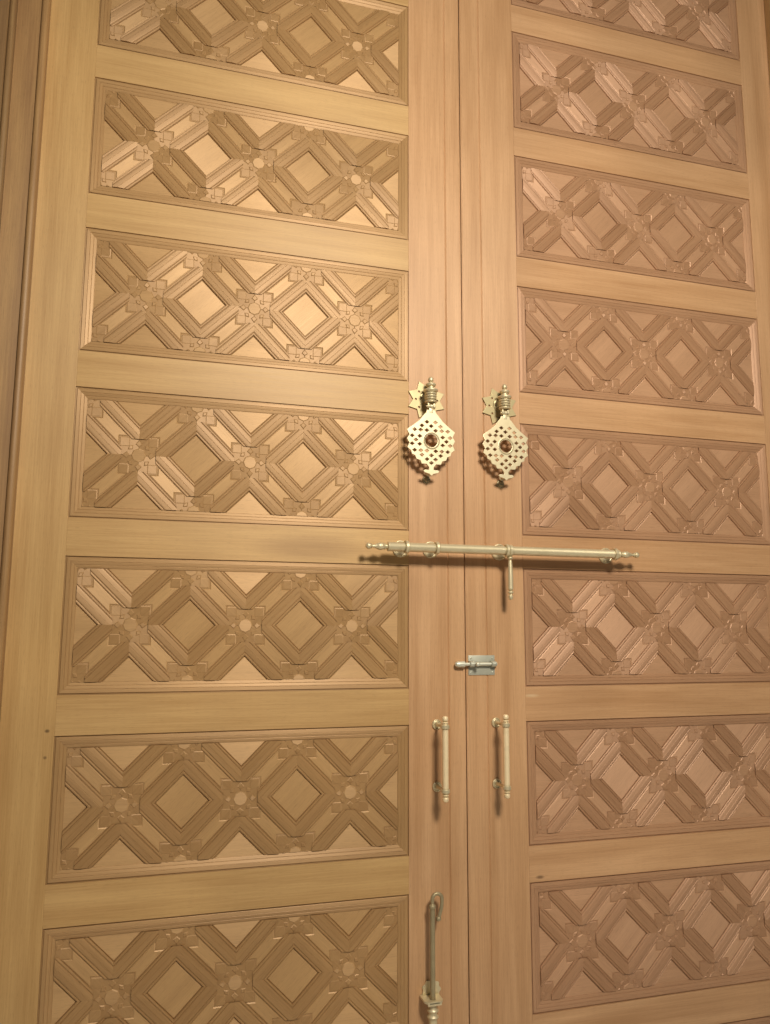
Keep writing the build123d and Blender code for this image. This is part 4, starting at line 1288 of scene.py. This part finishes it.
class DOOR_OT_stage(bpy.types.Operator):
    """Lay the pale floor, hang the lamp and place the camera"""

    bl_idname = "temple_door.stage"
    bl_label = "Stage"

    def execute(self, context):
        look = context.scene.door_stage
        self.floor(look)
        self.lamps(look)
        self.world(look)
        self.camera(look)
        context.scene.view_settings.view_transform = "Standard"
        return {"FINISHED"}

    def floor(self, look):
        bm = bmesh.new()
        bmesh.ops.create_grid(bm, x_segments=4, y_segments=4, size=9.0)
        sheet = NodeSheet("pale_floor")
        place = sheet.node("ShaderNodeTexCoord").outputs["Object"]
        shade = sheet.span(sheet.noise(place, 1.2), 0.3, 0.7, 0.97, 1.0)
        sheet.set(Base_Color=sheet.mix(1.0, rgba(look.floor_colour), shade, "MULTIPLY"), Roughness=0.75)
        floor = linked("studio_floor", mesh_from(bm, "studio_floor", sheet.material))
        floor.location = (0.0, 0.0, -0.0005)

    def lamps(self, look):
        """One lamp in front of the door and wide soft ones behind and beside it."""
        lean, turn, wide = math.radians(68.0), math.radians(90.0), (2.0, 2.0)
        for name, place, euler, size, power in (
                ("soft_lamp", look.lamp_place, (look.lamp_tilt, 0.0, 0.0), look.lamp_size,
                 look.lamp_power),
                ("back_lamp", (0.0, 2.6, 2.6), (math.radians(-55.0), 0.0, 0.0), wide,
                 look.back_power),
                ("left_lamp", (-3.0, 1.1, 2.4), (lean, 0.0, -turn), wide, look.side_power),
                ("right_lamp", (3.0, 1.1, 2.4), (lean, 0.0, turn), wide, look.side_power)):
            light = bpy.data.lights.new(name, "AREA")
            light.shape = "RECTANGLE"
            light.size, light.size_y = size
            light.energy = power
            light.color = (1.0, 0.93, 0.80)
            lamp = linked(name, light)
            lamp.location = place
            lamp.rotation_euler = euler

    def world(self, look):
        """Weak warm light from all round, behind a pale background."""
        world = bpy.data.worlds.new("studio")
        bpy.context.scene.world = world
        world.use_nodes = True
        tree = world.node_tree
        lit = tree.nodes["Background"]
        lit.inputs["Color"].default_value = (1.0, 0.93, 0.82, 1.0)
        lit.inputs["Strength"].default_value = look.fill_power
        seen = tree.nodes.new("ShaderNodeBackground")
        seen.inputs["Color"].default_value = (0.86, 0.85, 0.83, 1.0)
        path = tree.nodes.new("ShaderNodeLightPath")
        choose = tree.nodes.new("ShaderNodeMixShader")
        tree.links.new(path.outputs["Is Camera Ray"], choose.inputs["Fac"])
        tree.links.new(lit.outputs[0], choose.inputs[1])
        tree.links.new(seen.outputs[0], choose.inputs[2])
        tree.links.new(choose.outputs[0], tree.nodes["World Output"].inputs["Surface"])

    def camera(self, look):
        data = bpy.data.cameras.new("camera")
        data.lens = look.lens
        data.sensor_width = 36.0
        data.sensor_fit = "AUTO"
        data.clip_start = 0.05
        camera = linked("camera", data)
        turn = Matrix.Rotation(-look.camera_turn, 4, "Z")
        tilt = Matrix.Rotation(math.pi / 2 + look.camera_tilt, 4, "X")
        lean = Matrix.Rotation(look.camera_roll, 4, "Z")
        camera.matrix_world = Matrix.Translation(look.camera_place) @ turn @ tilt @ lean
        bpy.context.scene.camera = camera


# Panel and registration


OPERATORS = (DOOR_OT_carved_panels, DOOR_OT_leaves, DOOR_OT_frame, DOOR_OT_hinges, DOOR_OT_bar_bolt,
             DOOR_OT_knockers, DOOR_OT_pulls, DOOR_OT_small_bolt, DOOR_OT_foot_bolt, DOOR_OT_stage)
SETTINGS = {"door_carving": CarvingSizes, "door_wood": WoodLook, "door_fittings": FittingLook,
            "door_stage": StageLook}


class VIEW3D_PT_temple_door(bpy.types.Panel):
    """Lists the steps that finish the door"""

    bl_label = "Temple Door"
    bl_space_type = "VIEW_3D"
    bl_region_type = "UI"
    bl_category = "Temple Door"

    def draw(self, context):
        for operator in OPERATORS:
            self.layout.operator(operator.bl_idname)
        for name, group in SETTINGS.items():
            box = self.layout.box()
            for prop in group.__annotations__:
                box.prop(getattr(context.scene, name), prop)


def register():
    for group in SETTINGS.values():
        bpy.utils.register_class(group)
    for name, group in SETTINGS.items():
        setattr(bpy.types.Scene, name, bpy.props.PointerProperty(type=group))
    for operator in OPERATORS:
        bpy.utils.register_class(operator)
    bpy.utils.register_class(VIEW3D_PT_temple_door)


def unregister():
    bpy.utils.unregister_class(VIEW3D_PT_temple_door)
    for operator in reversed(OPERATORS):
        bpy.utils.unregister_class(operator)
    for name in SETTINGS:
        delattr(bpy.types.Scene, name)
    for group in SETTINGS.values():
        bpy.utils.unregister_class(group)


def main():
    register()
    bpy.ops.temple_door.stage()
    bpy.ops.temple_door.leaves()
    bpy.ops.temple_door.frame()
    bpy.ops.temple_door.hinges()
    bpy.ops.temple_door.carved_panels()
    bpy.ops.temple_door.bar_bolt()
    bpy.ops.temple_door.knockers()
    bpy.ops.temple_door.pulls()
    bpy.ops.temple_door.small_bolt()
    bpy.ops.temple_door.foot_bolt()


if __name__ == "__main__":
    main()
